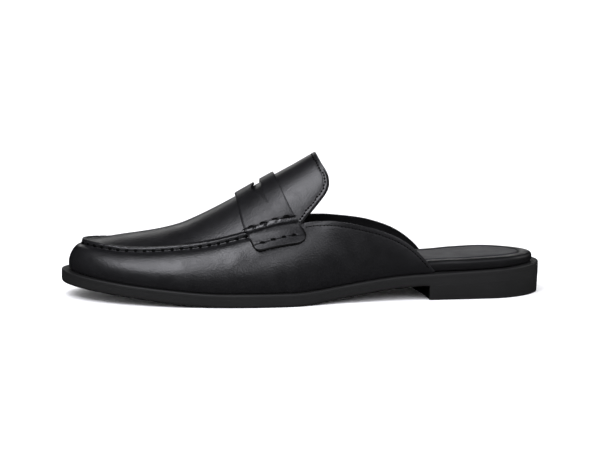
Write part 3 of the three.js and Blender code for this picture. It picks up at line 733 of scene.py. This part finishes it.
def waxed_thread(name, colour, specular):
    """Dark surface broken up by the lay of a twisted thread."""
    material, tree, place = new_material(name)
    twist = add(tree, "ShaderNodeTexNoise",
                {"Vector": place, "Scale": per_metre(THREAD_TWIST), "Detail": 2})
    bump = add(tree, "ShaderNodeBump",
               {"Height": twist.outputs["Fac"], "Strength": 0.4, "Distance": 0.0001})
    return finish_material(material, tree, Base_Color=linear(colour), Roughness=0.6,
                           Specular_IOR_Level=specular, Normal=bump.outputs["Normal"])


# Full-grain calf, dyed and brushed with a thin finish: nearly smooth, with a soft broad shine
calf = finished_leather("finished calf leather", "#111112", "#161618", 0.33, 0.45)
# The same calf with less of the finish left after it was pulled on: a quieter, darker shine
strap_calf = finished_leather("finished calf strap", "#101011", "#151517", 0.33, 0.45,
                              specular=0.32)
# Unfinished pigskin, sueded by wear: dull and almost black inside the shoe
lining = finished_leather("black pigskin lining", "#0b0b0c", "#101011", 0.6, 0.35, specular=0.15)
# Calf stretched tight by the gathering stitches: the finish closes up and the light gets sharper
rolled = finished_leather("calf pulled tight over the seam", "#121214", "#18181a", 0.3, 0.4,
                          specular=0.5)
# Raw edge painted with ink: the darkest line on the leather, with hardly any shine. The same black
# is also painted shade on the strap's toe-facing edges, round the tabs and low on the tongue's
# edge
edge_ink_and_shade = finished_leather("inked cut edge and painted shade", "#050505", "#080808", 0.5, 0.2, specular=0.12)
# Calf skived thin, folded over and hammered: a slim bright line along the topline
turned = finished_leather("turned calf edge", "#161618", "#1c1c1e", 0.3, 0.2, specular=0.6)
# Softer leather wrapped round the footbed's foam: darker and flatter than the calf
wrap = finished_leather("footbed wrap leather", "#0d0d0e", "#121213", 0.45, 0.3, specular=0.27)
# Leather with its surface buffed up: the palest and most even black, which spreads the light
sock = finished_leather("sueded sock leather", "#1e1e21", "#27272b", 0.52, 0.4,
                        mottle=SUEDE_CLOUD)
# Moulded rubber with a ground edge: a flat charcoal that sets the sole off from the leather
rubber = trimmed_rubber("trimmed sole rubber", "#151515", "#191919", 0.65, RUBBER_LINE)
# Welt leather, ground, inked and waxed: a thin line slightly smoother than the rubber
welt_leather = trimmed_rubber("inked welt leather", "#151515", "#191919", 0.55, WELT_LINE)
# Polyester thread drawn through black wax: dull, and seen by its roundness more than its colour
thread = waxed_thread("waxed polyester thread", "#0a0a0b", 0.12)
# Black beads laid in the needle holes: painted shadow that stands in for the dark inside each hole
hole_shadow_paint = waxed_thread("painted shadow in needle holes", "#030303", 0.05)


# Sole

OUTLINE_STEPS = 150


@lru_cache(maxsize=None)
def outline_place(i):
    """Station and side of one step round the sole, from the toe along the outer side."""
    turn = pi * i / OUTLINE_STEPS
    at = (1 - cos(turn)) / 2
    return at, OUTER if i <= OUTLINE_STEPS else INNER


def loop_round(distance, height):
    points = []
    for i in range(2 * OUTLINE_STEPS):
        at, side = outline_place(i)
        plan = inset(at, side, distance(at) if callable(distance) else distance)
        points.append(Vector((plan.x, plan.y, height(plan.x))))
    return points


def walls_between(bm, loops):
    size = len(loops[0])
    sheet(bm, len(loops) - 1, size, lambda row, column, _: loops[row][column % size])


def cover(bm, loop, rows=12, shape=None):
    """Closes a loop with a sheet across the sole. shape lifts it by place along and across."""
    size = len(loop)

    def place(row, column, _):
        outer, inner = loop[column], loop[-column % size]
        point = outer.lerp(inner, row / rows)
        if shape:
            point.z += shape(point, abs(2 * row / rows - 1))
        return point

    sheet(bm, rows, size // 2, place)


def along(base, extra=0):
    return lambda x: base(x) + extra


def trimmed(distance):
    """Rounding of the lower edge, which ends where the heel block starts."""
    return lambda at: mix(distance, 0.02, smooth(share((at - BREAST_AT) * SOLE_LENGTH + 4, 4)))


def rubber_outsole():
    bm = bmesh.new()
    loops = [
        loop_round(trimmed(1.3), underside),
        loop_round(trimmed(0.45), along(underside, 0.3)),
        loop_round(trimmed(0.1), along(underside, 0.9)),
        loop_round(0, along(underside, 1.8)),
        loop_round(0, along(welt_bottom, -0.03)),
        loop_round(0.03, along(welt_bottom, -0.01)),
        loop_round(WELT_WIDTH, along(welt_bottom, -0.01)),
    ]
    walls_between(bm, loops)
    cover(bm, loops[0])
    cover(bm, loops[-1])
    weld(bm)
    face_out(bm)
    piece("rubber_outsole", bm, "outsole", [rubber])


def welt_band():
    bm = bmesh.new()
    start = 0.04
    loops = [
        loop_round(start, along(welt_bottom, 0.01)),
        loop_round(start, along(welt_top, -0.9)),
        loop_round(start + 0.12, along(welt_top, -0.4)),
        loop_round(start + 0.45, along(welt_top, -0.08)),
        loop_round(start + 1, welt_top),
        loop_round(start + 2.2, along(welt_top, -0.12)),
        loop_round(WELT_WIDTH, welt_top),
        loop_round(WELT_WIDTH, welt_bottom),
    ]
    walls_between(bm, loops + loops[:1])
    weld(bm)
    face_out(bm)
    piece("welt_band", bm, "welt", [welt_leather])


def footbed_wrap():
    bm = bmesh.new()

    def edge(extra):
        return lambda at: footbed_inset(at) + extra

    r = FOOTBED_ROUND
    loops = [loop_round(edge(1), bed_bottom), loop_round(edge(0.2), along(bed_bottom, 0.4)),
             loop_round(edge(0), along(bed_bottom, 1.2)), loop_round(edge(0), along(bed_top, -r))]
    for turn in (18, 36, 54, 72):
        t = radians(turn)
        loops.append(loop_round(edge(r * (1 - cos(t))), along(bed_top, -r * (1 - sin(t)))))
    loops += [
        loop_round(edge(r), bed_top),
        loop_round(edge(r + 2), along(bed_top, 0.1)),
        loop_round(edge(FOOTBED_RIM - 1.8), bed_top),
        loop_round(edge(FOOTBED_RIM - 0.9), along(bed_top, -0.3)),
        loop_round(edge(FOOTBED_RIM - 0.3), along(bed_top, -SOCK_RECESS + 0.2)),
        loop_round(edge(FOOTBED_RIM), along(bed_top, -SOCK_RECESS)),
    ]
    walls_between(bm, loops)
    cover(bm, loops[0])
    cover(bm, loops[-1])
    weld(bm)
    face_out(bm)
    piece("footbed_wrap", bm, "footbed", [wrap])


def sock_pad():
    """Thin padded sock with a soft edge and slight waves where it was laid by hand."""
    bm = bmesh.new()

    def low(x):
        return bed_top(x) - SOCK_RECESS + GAP

    def edge(extra):
        return lambda at: footbed_inset(at) + FOOTBED_RIM + GAP + extra

    high = along(low, SOCK_THICKNESS)
    loops = [
        loop_round(edge(0), low),
        loop_round(edge(0), along(high, -0.7)),
        loop_round(edge(0.25), along(high, -0.3)),
        loop_round(edge(0.8), along(high, -0.05)),
        loop_round(edge(1.6), high),
    ]

    def waves(point, across):
        slow = sin(point.x / 9.5 + 0.06 * point.y) * sin(point.y / 13 + 0.8)
        quick = sin(point.x / 4.1 - 0.11 * point.y + 1.3)
        return (0.13 * slow + 0.05 * quick) * (1 - across ** 4)

    walls_between(bm, loops)
    cover(bm, loops[0])
    cover(bm, loops[-1], rows=26, shape=waves)
    weld(bm)
    face_out(bm)
    piece("sock_pad", bm, "sock_lining", [sock])


def heel_block():
    """Block under the seat, with a hollow breast that is further forward on the inner side."""
    rows, columns = 44, 16
    breast = {OUTER: BREAST_AT, INNER: BREAST_AT - BREAST_SKEW / SOLE_LENGTH}
    bm = bmesh.new()
    run_layer = bm.verts.layers.float.new("run")
    across_layer = bm.verts.layers.float.new("across")

    def plan(run, across, distance):
        start = inset(mix(breast[OUTER], 1, run), OUTER, distance)
        end = inset(mix(breast[INNER], 1, run), INNER, distance)
        hollow = BREAST_HOLLOW * 4 * across * (1 - across) * (1 - run)
        return start.lerp(end, across) + Vector((hollow, 0))

    def corner(row, column, vert):
        run, across = sin(pi / 2 * row / rows), column / columns
        vert[run_layer], vert[across_layer] = run, across
        place = plan(run, across, HEEL_TAPER)
        return Vector((place.x, place.y, 0))

    sheet(bm, rows, columns, corner)
    weld(bm)
    raised = bmesh.ops.extrude_face_region(bm, geom=bm.faces[:])["geom"]
    for vert in raised:
        if isinstance(vert, bmesh.types.BMVert):
            place = plan(vert[run_layer], vert[across_layer], 0)
            vert.co = metres(Vector((place.x, place.y, underside(place.x) - 0.02)))
    face_out(bm)
    lowest = metres(Vector()).z + 0.01 * MM
    rim = [edge for edge in bm.edges if edge.calc_face_angle(0) > 1
           and not all(vert.co.z > lowest for vert in edge.verts)]
    bmesh.ops.bevel(bm, geom=rim, offset=0.7 * MM, offset_type="OFFSET", segments=3, profile=0.5,
                    affect="EDGES", material=-1, clamp_overlap=True)
    piece("heel_block", bm, "heel", [rubber])


# Upper

ROW_STEP = 0.62
FINE_REACH = 6.6
FINE_STEP = 0.6
WALL_COARSE = 17
APRON_COARSE = 17
WING_ROWS = 62
TONGUE_FINE = [0, 0.7, 1.4, 2.1, 2.8, 3.5, 4.2, 5]
TONGUE_COARSE = 8
# Black band beside the tongue's cut edge, only below this height and within this width of it:
# painted shade on the lower part of the tongue, where the edge turns down
TONGUE_SHADE_BELOW = 80
TONGUE_SHADE_WIDTH = 1.2
# Places of the materials on the upper and the strap, after the skin itself; the ink's place also
# holds painted shade
LINED, TURNED, INK_AND_SHADE, ROLLED = 1, 2, 3, 4


def wall_places(at, side):
    total = lengths_from_seam(at, 2 * side)[1][-1]
    return [across_at(at, 2 * side, d) for d in spread(total, FINE_REACH, FINE_STEP, WALL_COARSE)]


def apron_places(at, side):
    total = lengths_from_seam(at, side)[1][-1]
    if total < 0.001:
        count = round(FINE_REACH / FINE_STEP) + APRON_COARSE
        return [side * (1 - i / count) for i in range(count + 1)]
    return [across_at(at, side, d) for d in spread(total, FINE_REACH, FINE_STEP, APRON_COARSE)]


def front_row(at):
    """Values of across from the outer edge of the welt over the apron to the inner one."""
    over = apron_places(at, OUTER)[1:] + apron_places(at, INNER)[1:-1][::-1]
    return wall_places(at, OUTER)[::-1] + over + wall_places(at, INNER)


def tongue_edge_tree():
    points = [skin_point(NOTCH_AT + tongue_beyond(abs(v)) / SOLE_LENGTH, v)
              for v in [i / 150 for i in range(-149, 150)]]
    tree = KDTree(len(points))
    for i, point in enumerate(points):
        tree.insert(point, i)
    tree.balance()
    return tree


TONGUE_EDGE = tongue_edge_tree()


def edge_relief(distance):
    """Turned edge with a row of stitching pulled in beside it."""
    return 0.05 * bell(distance - 1.4, 0.8) - 0.25 * bell(distance - STITCH_FROM_EDGE, 0.6)


def swell(at, distance):
    """Soft swell of the side wall under the seam, which ends before the strap."""
    below = SWELL_HEIGHT * bell(distance - SWELL_BELOW_SEAM, SWELL_WIDTH)
    return (below * smooth(share(distance - SEAM_STITCH, 4))
            * (1 - smooth(share(at - SWELL_END_AT, SWELL_FADE))))


def skin_relief(at, across, point):
    distance, run = SEAM_LINE.nearest(point)
    total = seam_relief(distance, run, abs(across) >= 1)
    if abs(across) < 1 and at > NOTCH_AT - 0.03:
        total += edge_relief(TONGUE_EDGE.find(point)[2])
    if abs(across) >= 1:
        total += trough_relief(point)
        total += swell(at, distance)
        if at > NOTCH_AT:
            side = 1 if across > 0 else -1
            top = topline_point(at, side)
            run_in = smooth(share((at - NOTCH_AT) * SOLE_LENGTH, 4))
            total += 0.3 * run_in * edge_relief((point - top).length)
    return total


def shoe_upper():
    """Side walls, apron and tongue as one shell with a lining side and a turned edge."""
    bm = bmesh.new()
    relief = bm.verts.layers.float.new("relief")

    def placed(at, across, vert):
        point = skin_point(at, across)
        vert[relief] = skin_relief(at, across, point)
        return point

    count = round(SEAM_LINE.end / ROW_STEP)
    stations = [SEAM_LINE.at_run(SEAM_LINE.end * i / count) for i in range(count + 1)]
    stations[0], stations[-1] = APRON_AT, NOTCH_AT
    rows = [front_row(at) for at in stations]
    sheet(bm, count, len(rows[0]) - 1,
          lambda row, column, vert: placed(stations[row], rows[row][column], vert))
    for side in (OUTER, INNER):
        ats = [mix(NOTCH_AT, WING_END_AT[side], i / WING_ROWS) for i in range(WING_ROWS + 1)]
        wing = [wall_places(at, side)[::-side] for at in ats]
        sheet(bm, WING_ROWS, len(wing[0]) - 1,
              lambda row, column, vert: placed(ats[row], wing[row][column], vert))
    over = apron_places(NOTCH_AT, OUTER) + apron_places(NOTCH_AT, INNER)[:-1][::-1]
    backs = [0] + [t / TONGUE_LENGTH for t in TONGUE_FINE[1:]]
    rest = [mix(backs[-1], 1, i / TONGUE_COARSE) for i in range(1, TONGUE_COARSE + 1)]
    shares = [1 - back for back in backs + rest][::-1]

    def tongue(row, column, vert):
        across = over[column]
        at = NOTCH_AT + shares[row] * tongue_beyond(abs(across)) / SOLE_LENGTH
        return placed(at, across, vert)

    sheet(bm, len(shares) - 1, len(over) - 1, tongue)
    weld(bm)
    crown_up(bm)
    tint = bm.faces.layers.int.new("tint")
    for face in bm.faces:
        centre = face.calc_center_median() / MM - SHIFT
        near_edge = TONGUE_EDGE.find(centre)[2] < TONGUE_SHADE_WIDTH
        # Painted shade: black beside the tongue's edge only on its lower part
        if centre.z < TONGUE_SHADE_BELOW and near_edge and tongue_edge_inked(face):
            face[tint] = INK_AND_SHADE
    return thicken(bm, relief, WALL, EDGE_ROUND, tongue_edge_inked)


def tongue_edge_inked(face):
    """The tongue's cut edge is dyed black; the topline is turned in."""
    centre = face.calc_center_median() / MM - SHIFT
    return TONGUE_EDGE.find(centre)[2] < 4 and centre.x / SOLE_LENGTH + 0.5 > NOTCH_AT - 0.002


def thicken(bm, relief, wall, edge_round, inked):
    """Gives an open sheet its thickness and a rounded edge, and then its relief outside."""
    skin_faces = set(bm.faces)
    skin = set(bm.verts)
    bmesh.ops.solidify(bm, geom=bm.verts[:] + bm.edges[:] + bm.faces[:], thickness=wall * MM)
    inside = [vert for vert in bm.verts if vert not in skin]
    within = set(inside)
    for face in bm.faces:
        if face not in skin_faces:
            lined = all(vert in within for vert in face.verts)
            face.material_index = LINED if lined else TURNED
    rim_edges = [edge for edge in bm.edges
                 if len({face.material_index == TURNED for face in edge.link_faces}) == 2]
    rim_verts = {vert for edge in rim_edges for vert in edge.verts}
    for _ in range(4):
        bmesh.ops.smooth_vert(bm, verts=[v for v in inside if v not in rim_verts], factor=0.5,
                              use_axis_x=True, use_axis_y=True, use_axis_z=True)
    bm.normal_update()
    normals = {vert: skin_normal(vert) for vert in skin}
    for vert, normal in normals.items():
        vert.co += normal * vert[relief] * MM
    tint = bm.faces.layers.int["tint"]
    bevelled = bmesh.ops.bevel(bm, geom=rim_edges, offset=edge_round * MM, offset_type="OFFSET",
                               segments=3, profile=0.5, affect="EDGES", material=-1,
                               clamp_overlap=True)
    bm.normal_update()
    rounded = set(bevelled["faces"])
    for face in bm.faces:
        # Edge faces picked by inked take the black: edge ink, and on the strap painted shade where
        # the pick goes by which way a face turns
        if (face in rounded or face.material_index == TURNED) and inked(face):
            face.material_index = INK_AND_SHADE
        elif face.material_index == 0 and face[tint]:
            face.material_index = face[tint]
    return bm


def skin_normal(vert):
    """Outward direction at a corner of the outside, left alone by the faces of the edge."""
    total = Vector()
    for face in vert.link_faces:
        if face.material_index == 0:
            total += face.normal * face.calc_area()
    return total.normalized()


# Saddle strap

STRAP_FRONT_ROWS = 34
STRAP_REAR_ROWS = 22
STRAP_FINE_REACH = 6
STRAP_COARSE = 5
SLOT_COLUMNS = 22
TAB_COLUMNS = 36
EDGE_STEP = 0.8


def strap_edges(out):
    front = STRAP_FROM_TOE + strap_front(out)
    rear = STRAP_FROM_TOE + STRAP_WIDTH + strap_rear(out)
    slot_end = STRAP_FROM_TOE + slot_rear(out)
    slot_start = slot_end if out >= SLOT_REACH else STRAP_FROM_TOE + slot_front(out)
    return front, slot_start, slot_end, rear


def strap_at(part, t, across):
    front, slot_start, slot_end, rear = strap_edges(abs(across))
    from_toe = mix(front, slot_start, t) if part == "front" else mix(rear, slot_end, t)
    return from_toe / SOLE_LENGTH


def tab_end(part, t):
    front, _, slot_end, rear = strap_edges(1)
    from_edge = t * (slot_end - front if part == "front" else rear - slot_end)
    corner = max(TAB_CORNER - from_edge, 0)
    back = 0.5 * t if part == "front" else 1 - 0.5 * t
    return TAB_DROP * mix(1, 0.87, back) - (TAB_CORNER - sqrt(TAB_CORNER ** 2 - corner ** 2))


def strap_row(part, t):
    """Values of across from the outer tab's end to the inner one, along one row of the strap."""
    seam_at = strap_at(part, t, 1)
    half = []
    for side in (OUTER, INNER):
        total = lengths_from_seam(seam_at, side)[1][-1] * (1 - SLOT_REACH)
        near = [across_at(seam_at, side, d)
                for d in spread(total, STRAP_FINE_REACH, FINE_STEP, STRAP_COARSE)]
        near[-1] = side * SLOT_REACH
        over = [side * SLOT_REACH * (1 - (i / SLOT_COLUMNS)) for i in range(1, SLOT_COLUMNS + 1)]
        end = tab_end(part, t)
        down = [across_at(seam_at, 2 * side, (end - EDGE_STEP) * i / (TAB_COLUMNS - 1))
                for i in range(1, TAB_COLUMNS)] + [across_at(seam_at, 2 * side, end)]
        half.append(down[::-1] + near + over)
    return half[0] + half[1][:-1][::-1]


def gather_shift(run):
    """The rolls climb off the seam towards the notch."""
    return GATHER_LEAN * share(run - GATHER_RUN, 4 * GATHER_PITCH)


def strap_relief(distance, run, on_wall, inside, front_edge):
    """Rolls gathered between the stitches of the seam, and the tab sewn down below them."""
    signed = (distance if on_wall else -distance) + gather_shift(run)
    turn = 2 * pi * (run + 0.6 * signed - GATHER_RUN) / GATHER_PITCH
    hole = max(0, cos(turn)) ** 2
    nip = max(0, cos(turn - 2)) ** 12
    edge = 0.5 if front_edge or on_wall else 0.1
    fade = smooth(share(inside, 1.2))
    roll = gather_rise(signed)
    roll -= 0.3 * nip * max(roll, 0)
    total = max(roll - RIDGE_HEIGHT * hump(distance, RIDGE_WIDTH / 2), -0.8)
    total -= edge * (1 - share(inside, 1.1)) ** 2
    total -= (0.2 + 0.4 * hole) * bell(signed + GATHER_STITCH, 0.7) * fade
    if not on_wall:
        return total
    beside = abs((run - TAB_RUN + TAB_PITCH / 2) % TAB_PITCH - TAB_PITCH / 2)
    from_row = distance - TAB_STITCH + TAB_LEAN * share(run - TAB_RUN, 3 * TAB_PITCH)
    row = (0.15 + 0.35 * bell(beside, 0.9)) * bell(from_row, 0.6)
    return total - row * fade


def strap_surface(at, across):
    """Point on the strap without its relief, the direction out of it, and its relief."""
    point = skin_point(at, across)
    distance, run = SEAM_LINE.nearest(point)
    front, slot_start, slot_end, rear = strap_edges(abs(across))
    from_toe = at * SOLE_LENGTH
    inside = min(from_toe - front, rear - from_toe)
    if abs(across) > 1:
        if from_toe < slot_start:
            part, t = "front", (from_toe - front) / (slot_start - front)
        else:
            part, t = "rear", (rear - from_toe) / (rear - slot_end)
        inside = min(inside, tab_end(part, share(t, 1)) - distance)
    front_edge = from_toe - front < rear - from_toe
    relief = strap_relief(distance, run, abs(across) >= 1, max(inside, 0), front_edge)
    out = outward_at(at, across)
    lift = RIDGE_HEIGHT * hump(distance, RIDGE_WIDTH / 2) + STRAP_CLEARANCE + STRAP_THICKNESS
    return point + out * lift, out, relief


def strap_edge_ink_and_shade(face, toe_side=True):
    """Black all round the tabs and on the edges that do not face the heel: edge ink, with painted
    shade on the edges turned to the toe and a painted shadow gap round the tabs.
    """
    centre = face.calc_center_median() / MM - SHIFT
    seam = seam_point(centre.x / SOLE_LENGTH + 0.5, OUTER if centre.y < 0 else INNER)
    return centre.z < seam.z - 2 or (toe_side and face.normal.x < 0.2)


def saddle_strap():
    bm = bmesh.new()
    relief = bm.verts.layers.float.new("relief")
    from_edge = bm.verts.layers.float.new("from_edge")
    from_seam = bm.verts.layers.float.new("from_seam")
    for part, rows in (("front", STRAP_FRONT_ROWS), ("rear", STRAP_REAR_ROWS)):
        first = EDGE_STEP / (STRAP_WIDTH / 2)
        steps = [0] + [mix(first, 1, i / (rows - 1)) for i in range(rows)]
        table = [strap_row(part, t) for t in steps]

        def place(row, column, vert):
            across = table[row][column]
            last = len(table[row]) - 1
            at = strap_at(part, steps[row], across)
            point, _, vert[relief] = strap_surface(at, across)
            distance, run = SEAM_LINE.nearest(skin_point(at, across))
            vert[from_seam] = (distance if abs(across) >= 1 else -distance) + gather_shift(run)
            vert[from_edge] = min(row, column, last - column)
            return point

        sheet(bm, rows, len(table[0]) - 1, place)
    weld(bm)
    crown_up(bm)
    tint = bm.faces.layers.int.new("tint")
    for face in bm.faces:
        # Black band on the tabs' outer face along their edges: painted shadow round the tabs
        if max(vert[from_edge] for vert in face.verts) < 1.5 and strap_edge_ink_and_shade(face, False):
            face[tint] = INK_AND_SHADE
        elif all(-1 < vert[from_seam] < 1.6 for vert in face.verts):
            face[tint] = ROLLED
    return thicken(bm, relief, STRAP_THICKNESS - 0.2, STRAP_EDGE_ROUND, strap_edge_ink_and_shade)


# Stitches


def bead(bm, surface, point, out, way, length, width, height, lift=0):
    """Long bead lying on a finished surface: one stitch, or the painted shadow of one needle hole.
    """
    place, normal, _, _ = surface.find_nearest(metres(point + out * 0.4))
    way = (way - normal * way.dot(normal)).normalized()
    beside = normal.cross(way)
    turn = Matrix((way, beside, normal)).transposed().to_4x4()
    grow = Matrix.Diagonal((length / 2 * MM, width / 2 * MM, height / 2 * MM, 1))
    bmesh.ops.create_uvsphere(bm, u_segments=8, v_segments=6, radius=1,
                              matrix=Matrix.Translation(place + normal * lift * MM) @ turn @ grow)


def row_along(path, pitch, start):
    """Even places along a path: point, outward direction and the way along the path."""
    run = [0]
    for (before, _), (after, _) in zip(path, path[1:]):
        run.append(run[-1] + (after - before).length)
    place = start * pitch
    while place < run[-1]:
        i = min(bisect_right(run, place), len(path) - 1)
        t = share(place - run[i - 1], run[i] - run[i - 1])
        out = path[i - 1][1].lerp(path[i][1], t).normalized()
        yield path[i - 1][0].lerp(path[i][0], t), out, (path[i][0] - path[i - 1][0]).normalized()
        place += pitch


def on_skin(at, across):
    out = outward_at(at, across)
    return skin_point(at, across) + out * 0.6, out


def on_strap(at, across):
    point, out, relief = strap_surface(at, across)
    return point + out * relief, out


def with_way(surface, at, across):
    """Place on a surface with its outward direction and the direction along the shoe."""
    point, out = surface(at, across)
    return point, out, surface(at + 0.002, across)[0] - point


def tongue_stitch_places():
    places = []
    for i in range(-96, 97):
        across = i / 100
        edge_at = NOTCH_AT + tongue_beyond(abs(across)) / SOLE_LENGTH
        low, high = edge_at - 14 / SOLE_LENGTH, edge_at
        for _ in range(22):
            middle = (low + high) / 2
            if TONGUE_EDGE.find(skin_point(middle, across))[2] > STITCH_FROM_EDGE:
                low = middle
            else:
                high = middle
        places.append((low, across))
    return places


def edge_paths():
    """Lines that the machine stitching follows beside the tongue's edge and the toplines."""
    paths = [[on_skin(*place) for place in tongue_stitch_places()]]
    for side in (OUTER, INNER):
        steps = [mix(NOTCH_AT, WING_END_AT[side], i / 150) for i in range(4, 144)]
        paths.append([on_skin(at, across_at(at, 2 * side, STITCH_FROM_EDGE)) for at in steps])
    return paths


def seam_stitches(side, shift):
    """Places along the hand-sewn ridge, moved by a share of the pitch."""
    for k in range(1, int((SEAM_LINE.end - 4) / SEAM_PITCH)):
        at = SEAM_LINE.at_run((k + shift) * SEAM_PITCH)
        yield with_way(on_skin, at, across_at(at, 2 * side, SEAM_STITCH))


def gather_stitches(side, shift, count):
    for k in range(count):
        run = GATHER_RUN + (k + shift) * GATHER_PITCH
        at = SEAM_LINE.at_run(run)
        yield with_way(on_strap, at, across_at(at, side, GATHER_STITCH + gather_shift(run)))


def tab_stitches(side, shift, count):
    for k in range(count):
        place = k + shift
        at = SEAM_LINE.at_run(TAB_RUN + place * TAB_PITCH) - (TAB_LAST_BACK if place == 3 else 0)
        yield with_way(on_strap, at, across_at(at, 2 * side, TAB_STITCH - TAB_LEAN * place / 3))


# Black beads at the needle holes: painted shadow
def painted_hole_shadows(upper, strap):
    bm = bmesh.new()
    for path, size in zip(edge_paths(), (TONGUE_HOLE_SHADOW, TOPLINE_HOLE_SHADOW, TOPLINE_HOLE_SHADOW)):
        for place in row_along(path, FINE_PITCH, 0):
            bead(bm, upper, *place, *size)
    for side in (OUTER, INNER):
        for place in seam_stitches(side, 0):
            bead(bm, upper, *place, *SEAM_HOLE_SHADOW)
        for place in gather_stitches(side, 0, 4):
            bead(bm, strap, *place, *GATHER_HOLE_SHADOW)
        for place in tab_stitches(side, 0, 4):
            bead(bm, strap, *place, *TAB_HOLE_SHADOW)
    piece("painted_hole_shadows", bm, None, [hole_shadow_paint])


def stitch_thread(upper, strap):
    bm = bmesh.new()
    for path in edge_paths():
        for place in row_along(path, FINE_PITCH, 0.5):
            bead(bm, upper, *place, *FINE_THREAD)
    for side in (OUTER, INNER):
        for place in seam_stitches(side, 0.5):
            bead(bm, upper, *place, *SEAM_THREAD)
        for place in gather_stitches(side, -0.5, 5):
            bead(bm, strap, *place, *GATHER_THREAD)
        for place in tab_stitches(side, 0.5, 3):
            bead(bm, strap, *place, *TAB_THREAD)
    piece("stitch_thread", bm, None, [thread])


# Build

rubber_outsole()
welt_band()
heel_block()
footbed_wrap()
sock_pad()
upper_shell, strap_shell = shoe_upper(), saddle_strap()
surfaces = BVHTree.FromBMesh(upper_shell), BVHTree.FromBMesh(strap_shell)
piece("calf_upper", upper_shell, "upper", [calf, lining, turned, edge_ink_and_shade])
piece("calf_strap", strap_shell, "saddle_strap",
      [strap_calf, lining, turned, edge_ink_and_shade, rolled])
painted_hole_shadows(*surfaces)
stitch_thread(*surfaces)

# Floor, light and camera


def stage():
    """Pale floor that curves up behind the shoe, in metres."""
    front, flat_end, bend, width, top = -3, 1.2, 0.8, 6, 3
    bm = bmesh.new()
    profile = [(front, 0), (flat_end, 0)]
    profile += [(flat_end + bend * sin(radians(turn)), bend * (1 - cos(radians(turn))))
                for turn in range(10, 91, 10)]
    profile.append((flat_end + bend, top))
    made = bmesh.ops.create_grid(bm, x_segments=1, y_segments=len(profile) - 1, size=0.5)["verts"]
    for vert in made:
        y, z = profile[round((vert.co.y + 0.5) * (len(profile) - 1))]
        vert.co = Vector((width * vert.co.x, y, z))
    for face in bm.faces:
        face.smooth = True
    mesh = bpy.data.meshes.new("studio_floor")
    bm.to_mesh(mesh)
    bm.free()
    # Uncoated paper roll: an even white that takes only soft shadows
    material, tree, _ = new_material("matte white paper")
    finish_material(material, tree, Base_Color=linear("#fbfbfb"), Roughness=0.9,
                    Specular_IOR_Level=0.1)
    mesh.materials.append(material)
    floor = bpy.data.objects.new("studio_floor", mesh)
    floor.visible_glossy = False
    bpy.context.scene.collection.objects.link(floor)


def lamp(name, place, aim, width, height, power, colour="#ffffff"):
    light = bpy.data.lights.new(name, "AREA")
    light.shape = "RECTANGLE"
    light.size, light.size_y = width, height
    light.energy = power
    light.color = linear(colour)[:3]
    made = bpy.data.objects.new(name, light)
    made.location = place
    made.rotation_euler = (Vector(aim) - Vector(place)).to_track_quat("-Z", "Y").to_euler()
    bpy.context.scene.collection.objects.link(made)


stage()
lamp("key softbox", (-0.52, -0.72, 1.14), (0, 0, 0.03), 0.5, 0.8, 8.6, "#f8f8ff")
lamp("top softbox", (-0.48, -0.35, 1.3), (0, 0, 0.03), 0.4, 0.4, 2.2, "#f8f8ff")
lamp("toe softbox", (-0.88, -0.5, 1.0), (-0.05, 0, 0.03), 0.4, 0.3, 3.4, "#f8f8ff")
lamp("front fill", (0.1, -1.21, 0.73), (0, 0, 0.03), 0.6, 0.5, 3.5, "#f8f8ff")
lamp("heel fill", (0.81, -0.97, 0.66), (0, 0, 0.03), 0.4, 0.5, 2.7, "#f8f8ff")
lamp("heel card", (1.2, 0.2, 0.6), (0.1, 0, 0.02), 0.4, 0.4, 2.8)
lamp("back card", (-0.25, 1.15, 0.6), (0, 0, 0.05), 0.7, 0.3, 0.95)
lamp("low heel card", (0.36, 1.3, 0.3), (0.1, 0, 0.03), 0.35, 0.25, 0.5)

# The pale dome lights the floor and the shoe softly, and isn't mirrored in the finish
scene = bpy.context.scene
scene.view_settings.view_transform = "Standard"
world = bpy.data.worlds.new("studio")
scene.world = world
world.use_nodes = True
world.cycles_visibility.glossy = False
world.node_tree.nodes["Background"].inputs["Color"].default_value = linear("#fafafc")
world.node_tree.nodes["Background"].inputs["Strength"].default_value = 1.0

AZIMUTH, ELEVATION, DISTANCE = radians(-4.734), radians(8.062), 0.95
AIM = Vector((-1.361, 0, 39.69)) * MM
camera = bpy.data.objects.new("camera", bpy.data.cameras.new("camera"))
camera.data.lens = 89.88
camera.data.sensor_width = 36
back = Vector((sin(AZIMUTH) * cos(ELEVATION), -cos(AZIMUTH) * cos(ELEVATION), sin(ELEVATION)))
camera.location = AIM + back * DISTANCE
camera.rotation_euler = back.to_track_quat("Z", "Y").to_euler()
bpy.context.scene.collection.objects.link(camera)
scene.camera = camera
